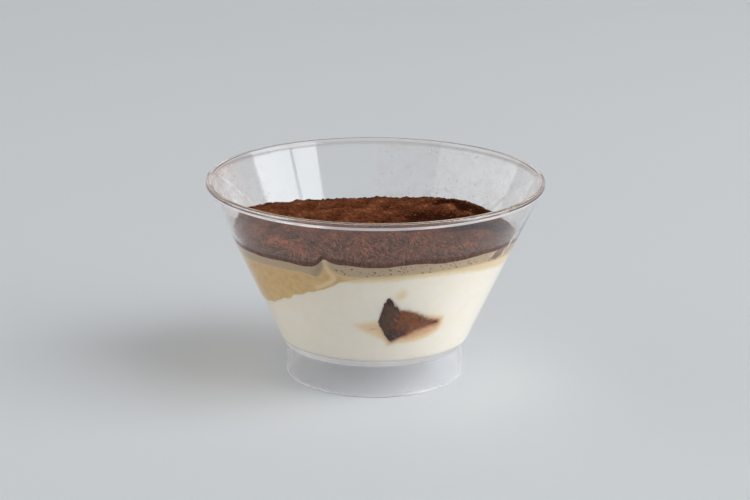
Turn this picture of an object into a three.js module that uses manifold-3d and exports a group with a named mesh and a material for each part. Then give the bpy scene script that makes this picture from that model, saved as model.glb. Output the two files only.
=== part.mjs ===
// A tiramisu in a clear plastic dessert cup. Millimetres, +Z up.
// The origin is the middle of the circle on which the foot ring stands. Azimuths are in degrees: 0 is the
// side at -Y, which shows the soaked sponge, and they grow towards +X. Every piece is a turned solid whose
// rows of vertices run round the cup, and the filling's rows are lifted and lowered by height functions.
import * as THREE from "three";
import { mergeVertices } from "three/addons/utils/BufferGeometryUtils.js";
import Module from "manifold-3d";

const wasm = await Module();
wasm.setup();

// Driving dimensions of the cup
const CUP_HEIGHT = 56.5;
const RIM_RADIUS = 47.5;
const RIM_BAND_HEIGHT = 2.5;
const RIM_EDGE = 0.5;
const FLOOR_UNDERSIDE = 9.3;
const FLOOR_THICKNESS = 1.5;
const WALL_BASE_RADIUS = 25.9; // outside of the wall's cone at the floor's underside
const WALL_TOP_RADIUS = 46.4; // outside of the wall's cone under the rim band
const WALL_THICKNESS = 1.1; // measured level
const CORNER_OUTER = 3;
const CORNER_INNER = 2.5;
const FOOT_RADIUS = 24.9;
const FOOT_THICKNESS = 1.1;
const FOOT_DRAFT = 0.12; // how much narrower the ring is at its top
const FOOT_EDGE = 0.3;

// Driving dimensions of the filling
const GAP = 0.3; // clearance between the filling and the cup, and between two layers
const SEGMENTS = 72; // round the cup
const LAYER_RINGS = [0, 0.3, 0.55, 0.75, 0.9, 1]; // fractions of the way from the axis to the wall
const COCOA_RINGS = [0, 0.1, 0.2, 0.3, 0.39, 0.48, 0.56, 0.64, 0.71, 0.78, 0.84, 0.9, 0.95, 1];
const COCOA_THICKNESS = 1.3;
const COCOA_EDGE_CALM = 0.65; // how much of the relief is lost at the wall

// Where each boundary of the filling meets the wall: [azimuth, height]
const CREAM_TOP = {
  level: 37.6,
  rise: 1.6, // how much higher the front is than the back
  edge: [
    [-158, 36.2], [-128, 34.4], [-108, 29.6], [-88, 25.9], [-68, 26], [-50, 27.2], [-37, 31],
    [-27, 33.3], [-17, 36.1], [-6, 37.6], [16, 38.9], [32, 39], [50, 38.5], [68, 37.4],
    [110, 36.4], [150, 36],
  ],
};
const COFFEE_TOP = {
  level: 39.2,
  rise: 1.8,
  edge: [
    [-160, 37.2], [-120, 37.2], [-75, 36.2], [-48, 37.4], [-30, 37.3], [-25, 37.9], [-20, 42.4],
    [-15, 40.2], [-6, 39.4], [8, 40], [25, 40.8], [41, 41], [56, 40.2], [72, 38.9], [105, 37.7],
    [155, 37.3],
  ],
};
const COCOA_UNDERSIDE = {
  level: 41.3,
  rise: 2.6,
  edge: [
    [-162, 38.7], [-140, 39.5], [-125, 41], [-110, 41.6], [-80, 41.3], [-62, 40.5], [-40, 41.1],
    [-26, 41.5], [-20, 44.3], [-15, 42.8], [4, 42.4], [15, 43.2], [42, 42.3], [62, 41.1], [85, 40.2],
    [105, 39.2], [120, 39.7], [140, 40.4], [156, 39.6], [174, 38.7],
  ],
};

// The shard and the sponge seen through the wall: corners as [azimuth, height]
const SHARD_OUTLINE = [
  [6.4, 32.7], [8.3, 31.3], [9, 29.8], [10.4, 28.6], [12.2, 27.6], [12, 25.2], [11.2, 23], [9.4, 20.8],
  [8.7, 18.4], [7.4, 18.6], [5.2, 21.7], [2.8, 24], [1.8, 25.7], [3.6, 28], [4, 31],
];
const SHARD_DEPTH = 3.4;
const SPONGE_OUTLINE = [
  [13.6, 27.8], [17.6, 26.8], [25.3, 25.2], [31.7, 24.1], [33, 23.2], [26.6, 22], [20.9, 20.2],
  [15, 19], [10.6, 18.6], [11, 20.4], [12.8, 22.8], [13.6, 25.2],
];
const SPONGE_DEPTH = 15;
const PLUG_OVERSHOOT = 4;

// Relief of the powder: ridges and hollows as [x, y] to [x, y], with height and half width
const COCOA_FEATURES = [
  { from: [-24.7, -15], to: [-14.8, -34], height: 0.9, width: 2.1 },
  { from: [-27.5, -23], to: [-20, -30.5], height: -0.9, width: 2.8 },
  { from: [-6, 13.5], to: [8, 14.5], height: 0.6, width: 2.4 },
  { from: [2, 9.2], to: [14, 7], height: -0.8, width: 1.8 },
  { from: [24, 25], to: [31, 16], height: -0.7, width: 3 },
  { from: [20, -16], to: [27, -22], height: 0.5, width: 4 },
];
const COCOA_LUMPS = { waves: 14, shortest: 6.5, longest: 17, height: 0.55, seed: 7 };

const WALL_SLOPE =
  (WALL_TOP_RADIUS - WALL_BASE_RADIUS) / (CUP_HEIGHT - RIM_BAND_HEIGHT - FLOOR_UNDERSIDE);
const WALL_ANGLE = Math.atan(WALL_SLOPE);
const FLOOR_TOP = FLOOR_UNDERSIDE + FLOOR_THICKNESS;

const radians = THREE.MathUtils.degToRad;

// Outside and inside of the wall's cone at a height.
function outerRadius(z) {
  return WALL_BASE_RADIUS + (z - FLOOR_UNDERSIDE) * WALL_SLOPE;
}

function innerRadius(z) {
  return outerRadius(z) - WALL_THICKNESS;
}

// Points of a round corner between a level floor and the wall's cone, from the floor up.
// apex is the radius at which floor and cone would meet.
function cornerArc(apex, floor, radius, steps) {
  const tangent = radius * Math.tan((Math.PI / 2 - WALL_ANGLE) / 2);
  return Array.from({ length: steps + 1 }, (_, i) => {
    const angle = -Math.PI / 2 + (i / steps) * (Math.PI / 2 - WALL_ANGLE);
    return [apex - tangent + radius * Math.cos(angle), floor + radius + radius * Math.sin(angle)];
  });
}

// A solid whose rows run round the axis. A row is a fixed [radius, height], or a function of the
// azimuth that gives one. The first and the last row lie on the axis. Each square of the net is split
// from its inner corner to its outer one in the same way on top and underneath, so that two layers
// with one boundary between them stay the same distance apart.
function turnedSolid(rows, segments) {
  const at = (row, azimuth) => (typeof row === "function" ? row(azimuth) : row);
  const profile = rows.map((row) => new THREE.Vector2(...at(row, 0)));
  const geometry = new THREE.LatheGeometry(profile, segments);
  const position = geometry.getAttribute("position");
  const triangles = [];
  for (let i = 0; i <= segments; i += 1) {
    const azimuth = (360 * (i % segments)) / segments;
    const turn = radians(azimuth);
    rows.forEach((row, j) => {
      const [r, z] = at(row, azimuth);
      const here = i * rows.length + j;
      position.setXYZ(here, r * Math.sin(turn), -r * Math.cos(turn), z);
      if (i === segments || j === rows.length - 1) return;
      const next = here + rows.length;
      const outwards = at(rows[j + 1], azimuth)[0] >= r;
      triangles.push(here, next, outwards ? here + 1 : next + 1);
      triangles.push(next + 1, here + 1, outwards ? next : here);
    });
  }
  geometry.setIndex(triangles);
  return welded(geometry);
}

// The geometry with only its positions, its shared vertices made one.
function welded(geometry) {
  geometry.deleteAttribute("normal");
  geometry.deleteAttribute("uv");
  return mergeVertices(geometry, 1e-4);
}

function toSolid(geometry) {
  return new wasm.Manifold(
    new wasm.Mesh({
      numProp: 3,
      vertProperties: new Float32Array(geometry.getAttribute("position").array),
      triVerts: new Uint32Array(geometry.index.array),
    }),
  );
}

function toGeometry(solid) {
  const mesh = solid.getMesh();
  const geometry = new THREE.BufferGeometry();
  geometry.setAttribute("position", new THREE.BufferAttribute(mesh.vertProperties, 3));
  geometry.setIndex(new THREE.BufferAttribute(mesh.triVerts, 1));
  return geometry;
}

// A smooth closed curve through [azimuth, height] pairs, as a function of the azimuth.
function edgeCurve(pairs) {
  const count = pairs.length;
  const key = (i) => {
    const turns = Math.floor(i / count);
    const [azimuth, height] = pairs[i - turns * count];
    return [azimuth + 360 * turns, height];
  };
  const slope = (i) => (key(i + 1)[1] - key(i - 1)[1]) / (key(i + 1)[0] - key(i - 1)[0]);
  return (azimuth) => {
    const turned = THREE.MathUtils.euclideanModulo(azimuth - pairs[0][0], 360) + pairs[0][0];
    let i = 0;
    while (key(i + 1)[0] <= turned) i += 1;
    const [a, p] = key(i);
    const [b, q] = key(i + 1);
    const t = (turned - a) / (b - a);
    const bend = (b - a) * t * (1 - t);
    return p + (q - p) * t * t * (3 - 2 * t) + bend * ((1 - t) * slope(i) - t * slope(i + 1));
  };
}

// The height of a boundary of the filling at an azimuth and a fraction of the way to the wall. Its
// tilt runs right across, and what the wall shows beyond that fades inwards.
function boundary({ level, rise, edge }, reach) {
  const atWall = edgeCurve(edge);
  return (azimuth, fraction) => {
    const tilt = (rise / 2) * Math.cos(radians(azimuth));
    return level + tilt * fraction + (atWall(azimuth) - level - tilt) * fraction ** reach;
  };
}

// Random numbers from 0 to 1 that are the same on every run.
function seededRandom(seed) {
  let state = seed;
  return () => {
    state = (state * 1664525 + 1013904223) % 4294967296;
    return state / 4294967296;
  };
}

// Soft lumps: waves in random directions, added up.
function lumps({ waves, shortest, longest, height, seed }) {
  const random = seededRandom(seed);
  const terms = Array.from({ length: waves }, () => {
    const heading = random() * Math.PI * 2;
    const length = shortest + (longest - shortest) * random();
    const phase = random() * Math.PI * 2;
    const pitch = (Math.PI * 2) / length;
    return [Math.cos(heading) * pitch, Math.sin(heading) * pitch, phase];
  });
  const share = height / Math.sqrt(waves);
  return (x, y) => terms.reduce((sum, [a, b, phase]) => sum + share * Math.sin(a * x + b * y + phase), 0);
}

// The height that one ridge or hollow adds at a point.
function featureHeight({ from, to, height, width }, x, y) {
  const along = new THREE.Vector2(to[0] - from[0], to[1] - from[1]);
  const offset = new THREE.Vector2(x - from[0], y - from[1]);
  const t = THREE.MathUtils.clamp(offset.dot(along) / along.lengthSq(), 0, 1);
  const distance = offset.sub(along.multiplyScalar(t)).length();
  return height * Math.exp(-((distance / width) ** 2));
}

// Rows across a boundary, shifted up or down by half a gap, from the axis to the wall.
function boundaryRows(height, rings, shift) {
  return rings.map((fraction) => (azimuth) => {
    const wall = innerRadius(height(azimuth, 1) + shift) - GAP;
    return [fraction * wall, height(azimuth, fraction) + shift];
  });
}

// A layer of the filling between two boundaries.
function layer(under, over) {
  const up = boundaryRows(under, LAYER_RINGS, GAP / 2);
  const down = boundaryRows(over, LAYER_RINGS, -GAP / 2).reverse();
  return turnedSolid([...up, ...down], SEGMENTS);
}

// The cup: from under the floor down the inside of the foot ring, out, and over the rim to the floor.
function cupGeometry() {
  const bandFoot = CUP_HEIGHT - RIM_BAND_HEIGHT;
  const footTop = FOOT_RADIUS - FOOT_DRAFT;
  const outerCorner = cornerArc(outerRadius(FLOOR_UNDERSIDE), FLOOR_UNDERSIDE, CORNER_OUTER, 5);
  const innerCorner = cornerArc(innerRadius(FLOOR_TOP), FLOOR_TOP, CORNER_INNER, 3);
  const rows = [
    [0, FLOOR_UNDERSIDE],
    [footTop - FOOT_THICKNESS, FLOOR_UNDERSIDE],
    [FOOT_RADIUS - FOOT_THICKNESS, FOOT_EDGE],
    [FOOT_RADIUS - FOOT_THICKNESS + FOOT_EDGE, 0],
    [FOOT_RADIUS - FOOT_EDGE, 0],
    [FOOT_RADIUS, FOOT_EDGE],
    [footTop, FLOOR_UNDERSIDE],
    ...outerCorner.filter(([r]) => r > footTop + FOOT_EDGE),
    [outerRadius(bandFoot), bandFoot],
    [RIM_RADIUS - RIM_EDGE, bandFoot],
    [RIM_RADIUS, bandFoot + RIM_EDGE],
    [RIM_RADIUS, CUP_HEIGHT - RIM_EDGE],
    [RIM_RADIUS - RIM_EDGE, CUP_HEIGHT],
    [innerRadius(CUP_HEIGHT) + RIM_EDGE / 2, CUP_HEIGHT],
    [innerRadius(CUP_HEIGHT - RIM_EDGE), CUP_HEIGHT - RIM_EDGE],
    ...innerCorner.reverse(),
    [0, FLOOR_TOP],
  ];
  return turnedSolid(rows, SEGMENTS);
}

// The white cream fills the cup from the floor up, round its rounded corner.
function creamGeometry(top) {
  const floor = FLOOR_TOP + GAP;
  const corner = cornerArc(innerRadius(floor) - GAP, floor, CORNER_INNER, 3);
  const down = boundaryRows(top, LAYER_RINGS, -GAP / 2).reverse();
  return turnedSolid([[0, floor], ...corner, ...down], SEGMENTS);
}

// The powder on top: thicker on its ridges, thinner in its hollows.
function cocoaGeometry(under) {
  const relief = lumps(COCOA_LUMPS);
  const up = boundaryRows(under, LAYER_RINGS, GAP / 2);
  const thickness = (x, y, fraction) => {
    const features = COCOA_FEATURES.reduce((sum, feature) => sum + featureHeight(feature, x, y), 0);
    const uneven = (features + relief(x, y)) * (1 - COCOA_EDGE_CALM * fraction ** 8);
    return Math.max(COCOA_THICKNESS + uneven, COCOA_THICKNESS / 3);
  };
  const down = COCOA_RINGS.map((fraction) => (azimuth) => {
    const turn = radians(azimuth);
    const nominal = innerRadius(under(azimuth, 1) + COCOA_THICKNESS) - GAP;
    const x = fraction * nominal * Math.sin(turn);
    const y = -fraction * nominal * Math.cos(turn);
    const z = under(azimuth, fraction) + GAP / 2 + thickness(x, y, fraction);
    const wall = innerRadius(fraction === 1 ? z : under(azimuth, 1) + COCOA_THICKNESS) - GAP;
    return [fraction * wall, z];
  }).reverse();
  return turnedSolid([...up, ...down], SEGMENTS);
}

// A plug that follows an outline on the wall, leans as the wall does and narrows inwards to depth.
// spread widens it all round. It reaches through the wall, and is cut off where it is used.
function plug(outline, depth, narrowing, spread) {
  const middle = outline.reduce((sum, [azimuth]) => sum + azimuth, 0) / outline.length;
  const height = outline.reduce((sum, [, z]) => sum + z, 0) / outline.length;
  const corners = outline.map(([azimuth, z]) => {
    const across = innerRadius(z) * Math.sin(radians(azimuth - middle));
    const corner = new THREE.Vector2(across, z - height);
    return corner.setLength(corner.length() + spread);
  });
  const length = PLUG_OVERSHOOT + depth + spread;
  const geometry = new THREE.ExtrudeGeometry(new THREE.Shape(corners), {
    depth: length,
    steps: 4,
    bevelEnabled: false,
  });
  const position = geometry.getAttribute("position");
  for (let i = 0; i < position.count; i += 1) {
    const inwards = length - PLUG_OVERSHOOT - position.getZ(i);
    const scale = 1 - narrowing * THREE.MathUtils.clamp(inwards / depth, 0, 1);
    const x = position.getX(i) * scale;
    const z = height + position.getY(i) * scale;
    position.setXYZ(i, x, inwards - innerRadius(z), z);
  }
  geometry.rotateZ(radians(middle));
  return toSolid(welded(geometry));
}

// The pieces sunk in the cream end at the wall, a gap inside it.
const fillSpace = toSolid(creamGeometry(() => CUP_HEIGHT / 2 + FLOOR_TOP));
const shardBody = plug(SHARD_OUTLINE, SHARD_DEPTH, 0.35, 0).intersect(fillSpace);
const spongeBody = plug(SPONGE_OUTLINE, SPONGE_DEPTH, 0.45, 0)
  .subtract(plug(SHARD_OUTLINE, SHARD_DEPTH, 0.35, GAP))
  .intersect(fillSpace);

const creamTop = boundary(CREAM_TOP, 4);
const coffeeTop = boundary(COFFEE_TOP, 6);
const cocoaUnderside = boundary(COCOA_UNDERSIDE, 5);
const creamBody = toSolid(creamGeometry(creamTop))
  .subtract(plug(SHARD_OUTLINE, SHARD_DEPTH, 0.35, GAP))
  .subtract(plug(SPONGE_OUTLINE, SPONGE_DEPTH, 0.45, GAP));

const pieces = [
  { name: "cup", geometry: cupGeometry(), color: 0xeef1f3, roughness: 0.05, opacity: 0.3 },
  { name: "mascarpone_cream", geometry: toGeometry(creamBody), color: 0xefe9db, roughness: 0.5 },
  { name: "coffee_cream", geometry: layer(creamTop, coffeeTop), color: 0xd6bd92, roughness: 0.55 },
  { name: "top_cream", geometry: layer(coffeeTop, cocoaUnderside), color: 0xb9a58c, roughness: 0.5 },
  { name: "cocoa_powder", geometry: cocoaGeometry(cocoaUnderside), color: 0x60382a, roughness: 0.95 },
  { name: "soaked_sponge", geometry: toGeometry(spongeBody), color: 0x85502c, roughness: 0.8 },
  { name: "dark_shard", geometry: toGeometry(shardBody), color: 0x4a2e22, roughness: 0.7 },
];

const group = new THREE.Group();
for (const { name, geometry, color, roughness, opacity = 1 } of pieces) {
  const material = new THREE.MeshStandardMaterial({
    color,
    roughness,
    metalness: 0,
    opacity,
    transparent: opacity < 1,
    flatShading: true,
  });
  const mesh = new THREE.Mesh(geometry, material);
  mesh.name = name;
  group.add(mesh);
}

export default group;
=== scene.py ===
"""The looks of a tiramisu in a clear plastic cup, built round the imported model.

Pieces are modelled in millimetres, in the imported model's frame, and scaled to metres when they are
finished. Azimuths are in degrees: 0 is the side at -Y and they grow towards +X. Most pieces start as a
spun blank, a disc of radius 1 and height 1, whose vertices are then carried to their real places.
"""
from __future__ import annotations

import logging
import math
from dataclasses import dataclass, field
from enum import Enum
from typing import Callable, Sequence

import bmesh
import bpy
import numpy as np
from mathutils import Euler, Matrix, Vector, noise


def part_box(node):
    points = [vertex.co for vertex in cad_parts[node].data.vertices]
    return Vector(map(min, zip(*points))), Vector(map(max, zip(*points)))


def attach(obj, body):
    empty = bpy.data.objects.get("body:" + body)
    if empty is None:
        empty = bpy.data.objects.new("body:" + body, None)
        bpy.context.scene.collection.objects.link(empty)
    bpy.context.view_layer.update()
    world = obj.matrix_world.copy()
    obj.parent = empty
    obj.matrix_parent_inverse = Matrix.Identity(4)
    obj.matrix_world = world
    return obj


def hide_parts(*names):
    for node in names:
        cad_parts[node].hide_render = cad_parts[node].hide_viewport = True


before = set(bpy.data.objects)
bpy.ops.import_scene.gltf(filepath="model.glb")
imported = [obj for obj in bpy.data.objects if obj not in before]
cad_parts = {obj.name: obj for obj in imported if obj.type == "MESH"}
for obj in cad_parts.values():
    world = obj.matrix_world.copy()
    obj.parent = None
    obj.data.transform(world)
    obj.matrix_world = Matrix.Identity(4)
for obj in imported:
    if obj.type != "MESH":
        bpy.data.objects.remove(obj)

MM = 0.001
BODY = "root"
LOG = logging.getLogger("tiramisu")

Array = np.ndarray
Point = tuple[float, float]
Colour = tuple[float, float, float, float]
Surface = Callable[[Array, Array], Array]


class Slot(Enum):
    """The record's material slots."""

    CLEAR_PLASTIC = "clear_plastic"
    WHITE_CREAM = "white_cream"
    TAN_CREAM = "tan_cream"
    BEIGE_CREAM = "beige_cream"
    COCOA = "cocoa"
    SPONGE = "sponge"
    SHARD = "shard"


def linear(red: float, green: float, blue: float) -> Colour:
    """Turns a display colour into the linear colour that shaders use.

    Args:
        red: Display value from 0 to 255.
        green: Display value from 0 to 255.
        blue: Display value from 0 to 255.

    Returns:
        Linear red, green, blue and an alpha of 1.
    """
    def channel(value: float) -> float:
        """One channel, from display to linear."""
        share = value / 255
        return share / 12.92 if share <= 0.04045 else ((share + 0.055) / 1.055) ** 2.4

    return channel(red), channel(green), channel(blue), 1.0


# Shader expressions


class Value:
    """The output of a shader node, which Python expressions can use."""

    def __init__(self, graph: "Graph", socket: bpy.types.NodeSocket) -> None:
        """Wraps a socket of a graph."""
        self.graph = graph
        self.socket = socket

    def _math(self, operation: str, first: "Value | float", second: "Value | float") -> "Value":
        """Adds a Math node for two operands."""
        return self.graph.value("ShaderNodeMath", {"operation": operation}, {0: first, 1: second})

    def __add__(self, other: "Value | float") -> "Value":
        """self + other."""
        return self._math("ADD", self, other)

    def __radd__(self, other: float) -> "Value":
        """other + self."""
        return self._math("ADD", other, self)

    def __sub__(self, other: "Value | float") -> "Value":
        """self - other."""
        return self._math("SUBTRACT", self, other)

    def __rsub__(self, other: float) -> "Value":
        """other - self."""
        return self._math("SUBTRACT", other, self)

    def __mul__(self, other: "Value | float") -> "Value":
        """self * other."""
        return self._math("MULTIPLY", self, other)

    def __rmul__(self, other: float) -> "Value":
        """other * self."""
        return self._math("MULTIPLY", other, self)

    def largest(self, other: "Value | float") -> "Value":
        """The larger of self and other."""
        return self._math("MAXIMUM", self, other)

    def step(self, low: float, high: float) -> "Value":
        """Rises smoothly from 0 at low to 1 at high, or falls where low is the larger."""
        settings = {"interpolation_type": "SMOOTHSTEP", "clamp": True}
        return self.graph.value("ShaderNodeMapRange", settings, {0: self, 1: low, 2: high, 3: 0.0, 4: 1.0})


class Graph:
    """The node tree of one material, or of the world."""

    def __init__(self, owner: bpy.types.Material | bpy.types.World) -> None:
        """Starts with the owner's nodes cleared.

        Args:
            owner: The material, or the world, whose node tree it is.
        """
        self.owner = owner
        self.owner.use_nodes = True
        self.tree = self.owner.node_tree
        self.tree.nodes.clear()

    def node(self, kind: str, settings: dict | None = None, values: dict | None = None) -> bpy.types.Node:
        """Adds a node.

        Args:
            kind: The node's type name.
            settings: The node's own properties, set first.
            values: A number, colour or Value for each input, by its name or index.

        Returns:
            The new node.
        """
        made = self.tree.nodes.new(kind)
        for key, setting in (settings or {}).items():
            setattr(made, key, setting)
        for key, value in (values or {}).items():
            if isinstance(value, Value):
                self.tree.links.new(value.socket, made.inputs[key])
            else:
                made.inputs[key].default_value = value
        return made

    def value(
        self, kind: str, settings: dict | None = None, values: dict | None = None, output: str | int = 0
    ) -> Value:
        """Adds a node as node() does, and returns one of its outputs."""
        return Value(self, self.node(kind, settings, values).outputs[output])

    def attribute(self, name: str) -> Value:
        """A number that the mesh carries at each vertex."""
        return self.value("ShaderNodeAttribute", {"attribute_name": name}, output="Fac")

    def place(self, stretch: Sequence[float] = (1, 1, 1)) -> Value:
        """The point on the piece in millimetres.

        Args:
            stretch: Factors for the three axes.

        Returns:
            The point as a vector.
        """
        coordinates = self.value("ShaderNodeTexCoord", output="Object")
        scale = tuple(factor / MM for factor in stretch)
        return self.value("ShaderNodeMapping", None, {0: coordinates, "Scale": scale})

    def noise(self, at: Value, size: float, detail: float = 3.0, roughness: float = 0.55) -> Value:
        """Noise from 0 to 1 whose patches are about size millimetres."""
        values = {"Vector": at, "Scale": 1 / size, "Detail": detail, "Roughness": roughness}
        return self.value("ShaderNodeTexNoise", None, values)

    def cells(self, at: Value, size: float) -> Value:
        """Distance to the nearest of points that lie about size millimetres apart."""
        return self.value("ShaderNodeTexVoronoi", None, {"Vector": at, "Scale": 1 / size}, "Distance")

    def mix(self, first: Value | Colour, second: Value | Colour, share: Value | float) -> Value:
        """A colour between first and second, second where share is 1."""
        settings = {"data_type": "RGBA", "clamp_factor": True}
        return self.value("ShaderNodeMix", settings, {0: share, 6: first, 7: second}, 2)

    def lines(self, at: Value, size: float, width: float) -> Value:
        """Thin wandering lines, about size millimetres apart, that are 1 along their middle."""
        off = self.noise(at, size, 2) - 0.5
        return off.largest(off * -1.0).step(width, 0.0)

    def bump(self, height: Value, distance: float, strength: float = 1.0) -> Value:
        """A normal for relief of that many millimetres where height goes from 0 to 1."""
        values = {"Height": height, "Distance": distance * MM, "Strength": strength}
        return self.value("ShaderNodeBump", None, values)

    def principled(self, values: dict) -> Value:
        """A Principled shader with those inputs, dull unless they say otherwise."""
        return self.value("ShaderNodeBsdfPrincipled", None, {"Specular IOR Level": 0.0, **values})

    def finish(self, shader: Value) -> bpy.types.Material:
        """Connects the shader to the surface and returns the material."""
        self.node("ShaderNodeOutputMaterial", None, {"Surface": shader})
        return self.owner


def new_graph(name: str) -> Graph:
    """A graph for a new material of that name."""
    return Graph(bpy.data.materials.new(name))


# Finishes


@dataclass(frozen=True)
class ClearPlastic:
    """Clear, glossy moulded polystyrene, which lets shadow rays through."""

    tint: Colour = (0.985, 0.987, 0.99, 1.0)
    rim_tint: Colour = (1.0, 0.91, 0.885, 1.0)
    shade: Colour = (0.935, 0.94, 0.945, 1.0)
    refraction: float = 1.52
    roughness: float = 0.03
    gloss: float = 0.5

    def material(self) -> bpy.types.Material:
        """Builds the material.

        Returns:
            The finished material.
        """
        graph = new_graph("clear_plastic")
        glass = graph.principled({
            "Base Color": graph.mix(self.tint, self.rim_tint, graph.attribute("rim")),
            "Roughness": self.roughness,
            "IOR": self.refraction,
            "Specular IOR Level": self.gloss,
            "Transmission Weight": 1.0,
        })
        clear = graph.value("ShaderNodeBsdfTransparent", None, {"Color": self.shade})
        shadow_ray = graph.value("ShaderNodeLightPath", output="Is Shadow Ray")
        return graph.finish(graph.value("ShaderNodeMixShader", None, {0: shadow_ray, 1: glass, 2: clear}))


@dataclass(frozen=True)
class Cream:
    """A soft cream that light enters a little way, with blurred borders to its neighbours."""

    name: str
    body: Colour
    mottle: Colour
    above: Colour
    below: Colour
    blur_above: float
    blur_below: float
    mottle_size: float = 3.5
    mottle_share: float = 0.5
    border_ripple: float = 1.6
    blotch_size: float = 1.2
    grain_size: float = 0.5
    grain_height: float = 0.04
    scatter: float = 0.25
    scatter_depth: float = 1.6
    pale: Colour = linear(242, 221, 184)
    stain_edge: Colour = linear(241, 221, 186)
    stain: Colour = linear(229, 184, 142)
    stain_core: Colour = linear(150, 88, 50)
    fold: Colour = linear(226, 200, 164)
    fold_shade: Colour = linear(150, 126, 98)

    def material(self) -> bpy.types.Material:
        """Builds the material.

        Returns:
            The finished material.
        """
        graph = new_graph(self.name)
        at = graph.place()
        patches = graph.noise(at, self.mottle_size, 3).step(0.35, 0.7)
        colour = graph.mix(self.body, self.mottle, patches * self.mottle_share)
        colour = graph.mix(colour, self.pale, graph.attribute("pale"))
        ragged = graph.noise(at, self.border_ripple, 3) - 0.5
        borders = (("from_top", self.above, self.blur_above), ("from_base", self.below, self.blur_below))
        for border, neighbour, blur in borders:
            distance = graph.attribute(border) + ragged * blur
            colour = graph.mix(colour, neighbour, distance.step(blur, 0.0))
        blotch = 0.55 + 0.9 * graph.noise(at, self.blotch_size, 4)
        halo = graph.attribute("halo") * blotch
        colour = graph.mix(colour, self.stain_edge, halo.step(0.0, 0.45))
        colour = graph.mix(colour, self.stain, halo.step(0.35, 1.0))
        colour = graph.mix(colour, self.stain_core, (graph.attribute("soak") * blotch).step(0.12, 1.1))
        colour = graph.mix(colour, self.fold_shade, graph.attribute("fold_shade") * 0.45)
        colour = graph.mix(colour, self.fold, graph.attribute("fold") * 0.85)
        grain = graph.noise(at, self.grain_size, 4, 0.65)
        shader = graph.principled({
            "Base Color": colour,
            "Roughness": 0.5 + 0.2 * graph.noise(at, self.blotch_size, 2),
            "Subsurface Weight": self.scatter,
            "Subsurface Radius": (1.0, 0.75, 0.5),
            "Subsurface Scale": self.scatter_depth * MM,
            "Normal": graph.bump(grain, self.grain_height),
        })
        return graph.finish(shader)


@dataclass(frozen=True)
class CocoaPowder:
    """Dry dark powder with painted light on its ridges, painted shade in its hollows and fine combed marks.
    """

    dark: Colour = linear(58, 30, 19)
    middle: Colour = linear(116, 67, 44)
    light: Colour = linear(176, 112, 76)
    combed_dark: Colour = linear(52, 28, 16)
    combed_light: Colour = linear(176, 103, 67)
    side_dark: Colour = linear(52, 31, 22)
    side_light: Colour = linear(124, 77, 54)
    draw: float = 0.2
    comb_draw: float = 0.13
    wobble: float = 1.6
    wobble_size: float = 2.4
    fine_size: float = 0.45
    grain_size: float = 1.0
    streak_size: float = 0.8
    stroke_size: float = 0.4
    hair_gap: float = 1.0
    fine_hair_gap: float = 0.55
    patch_size: float = 5.0
    relief_height: float = 0.3

    def material(self) -> bpy.types.Material:
        """Builds the material.

        Returns:
            The finished material.
        """
        graph = new_graph("cocoa_powder")
        at = graph.place()
        across = graph.attribute("across")
        along = graph.attribute("along")
        flow = graph.value("ShaderNodeCombineXYZ", None, {0: across, 1: along * self.draw})
        wobbly = across + graph.noise(at, self.wobble_size, 2) * self.wobble
        comb = graph.value("ShaderNodeCombineXYZ", None, {0: wobbly, 1: along * self.comb_draw})
        fine = graph.noise(at, self.fine_size, 4, 0.7)
        streaks = graph.noise(flow, self.streak_size, 5, 0.7)
        strokes = graph.noise(comb, self.stroke_size, 3, 0.65)
        grains = graph.noise(at, self.grain_size, 2, 0.8)
        hairs = graph.lines(comb, self.hair_gap, 0.07) * 0.6
        hairs = hairs + graph.lines(comb, self.fine_hair_gap, 0.08) * 0.5
        patches = graph.noise(at, self.patch_size, 3)
        # lift is painted light and shade: lighter where the powder stands high, darker where it lies low
        lift = graph.attribute("lift")
        tone = lift * 1.3 + (streaks - 0.5) * 1.3 + (fine - 0.5) * 1.4 + (patches - 0.5) * 0.9
        tone = tone + (grains - 0.5) * 2.2 + hairs * 0.1
        colour = graph.mix(self.dark, self.middle, tone.step(-0.8, 0.1))
        colour = graph.mix(colour, self.light, tone.step(0.05, 1.0))
        marks = (strokes - 0.5) * 2.6 + (fine - 0.5) * 1.4 + (grains - 0.5) * 0.9
        drawn = marks + lift * 0.45 + (streaks - 0.5) * 0.4 + hairs * 0.35 - 0.02
        combed = graph.mix(self.combed_dark, self.combed_light, drawn.step(-0.18, 0.7))
        colour = graph.mix(colour, combed, graph.attribute("combed"))
        side = graph.mix(self.side_dark, self.side_light, (marks + hairs * 0.5).step(-0.5, 0.7))
        colour = graph.mix(colour, side, graph.attribute("side"))
        relief = fine * 0.7 + streaks * 0.3 + strokes * 0.3 + grains * 0.5 + hairs * 0.5
        shader = graph.principled({
            "Base Color": colour,
            "Roughness": 1.0,
            "Normal": graph.bump(relief, self.relief_height, 0.8),
        })
        return graph.finish(shader)


@dataclass(frozen=True)
class Crumb:
    """Porous, soaked crumb, with painted shade in its pores and pits: sponge, or the dark shard."""

    name: str
    dark: Colour
    middle: Colour
    light: Colour
    pore_size: float
    roughness: float = 0.55
    patch_size: float = 1.8
    pore_height: float = 0.1

    def material(self) -> bpy.types.Material:
        """Builds the material.

        Returns:
            The finished material.
        """
        graph = new_graph(self.name)
        at = graph.place()
        pores = graph.cells(at, self.pore_size).step(0.15, 0.6)
        patches = graph.noise(at, self.patch_size, 3)
        depth = graph.attribute("depth")
        # Painted shade: darker in the pores and where the pits sink deeper (depth)
        tone = pores * 0.24 + patches * 1.1 - depth - graph.attribute("soaked")
        colour = graph.mix(self.dark, self.middle, tone.step(0.2, 0.75))
        colour = graph.mix(colour, self.light, tone.step(0.75, 1.15))
        shader = graph.principled({
            "Base Color": colour,
            "Roughness": self.roughness,
            "Normal": graph.bump(pores, self.pore_height),
        })
        return graph.finish(shader)


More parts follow.
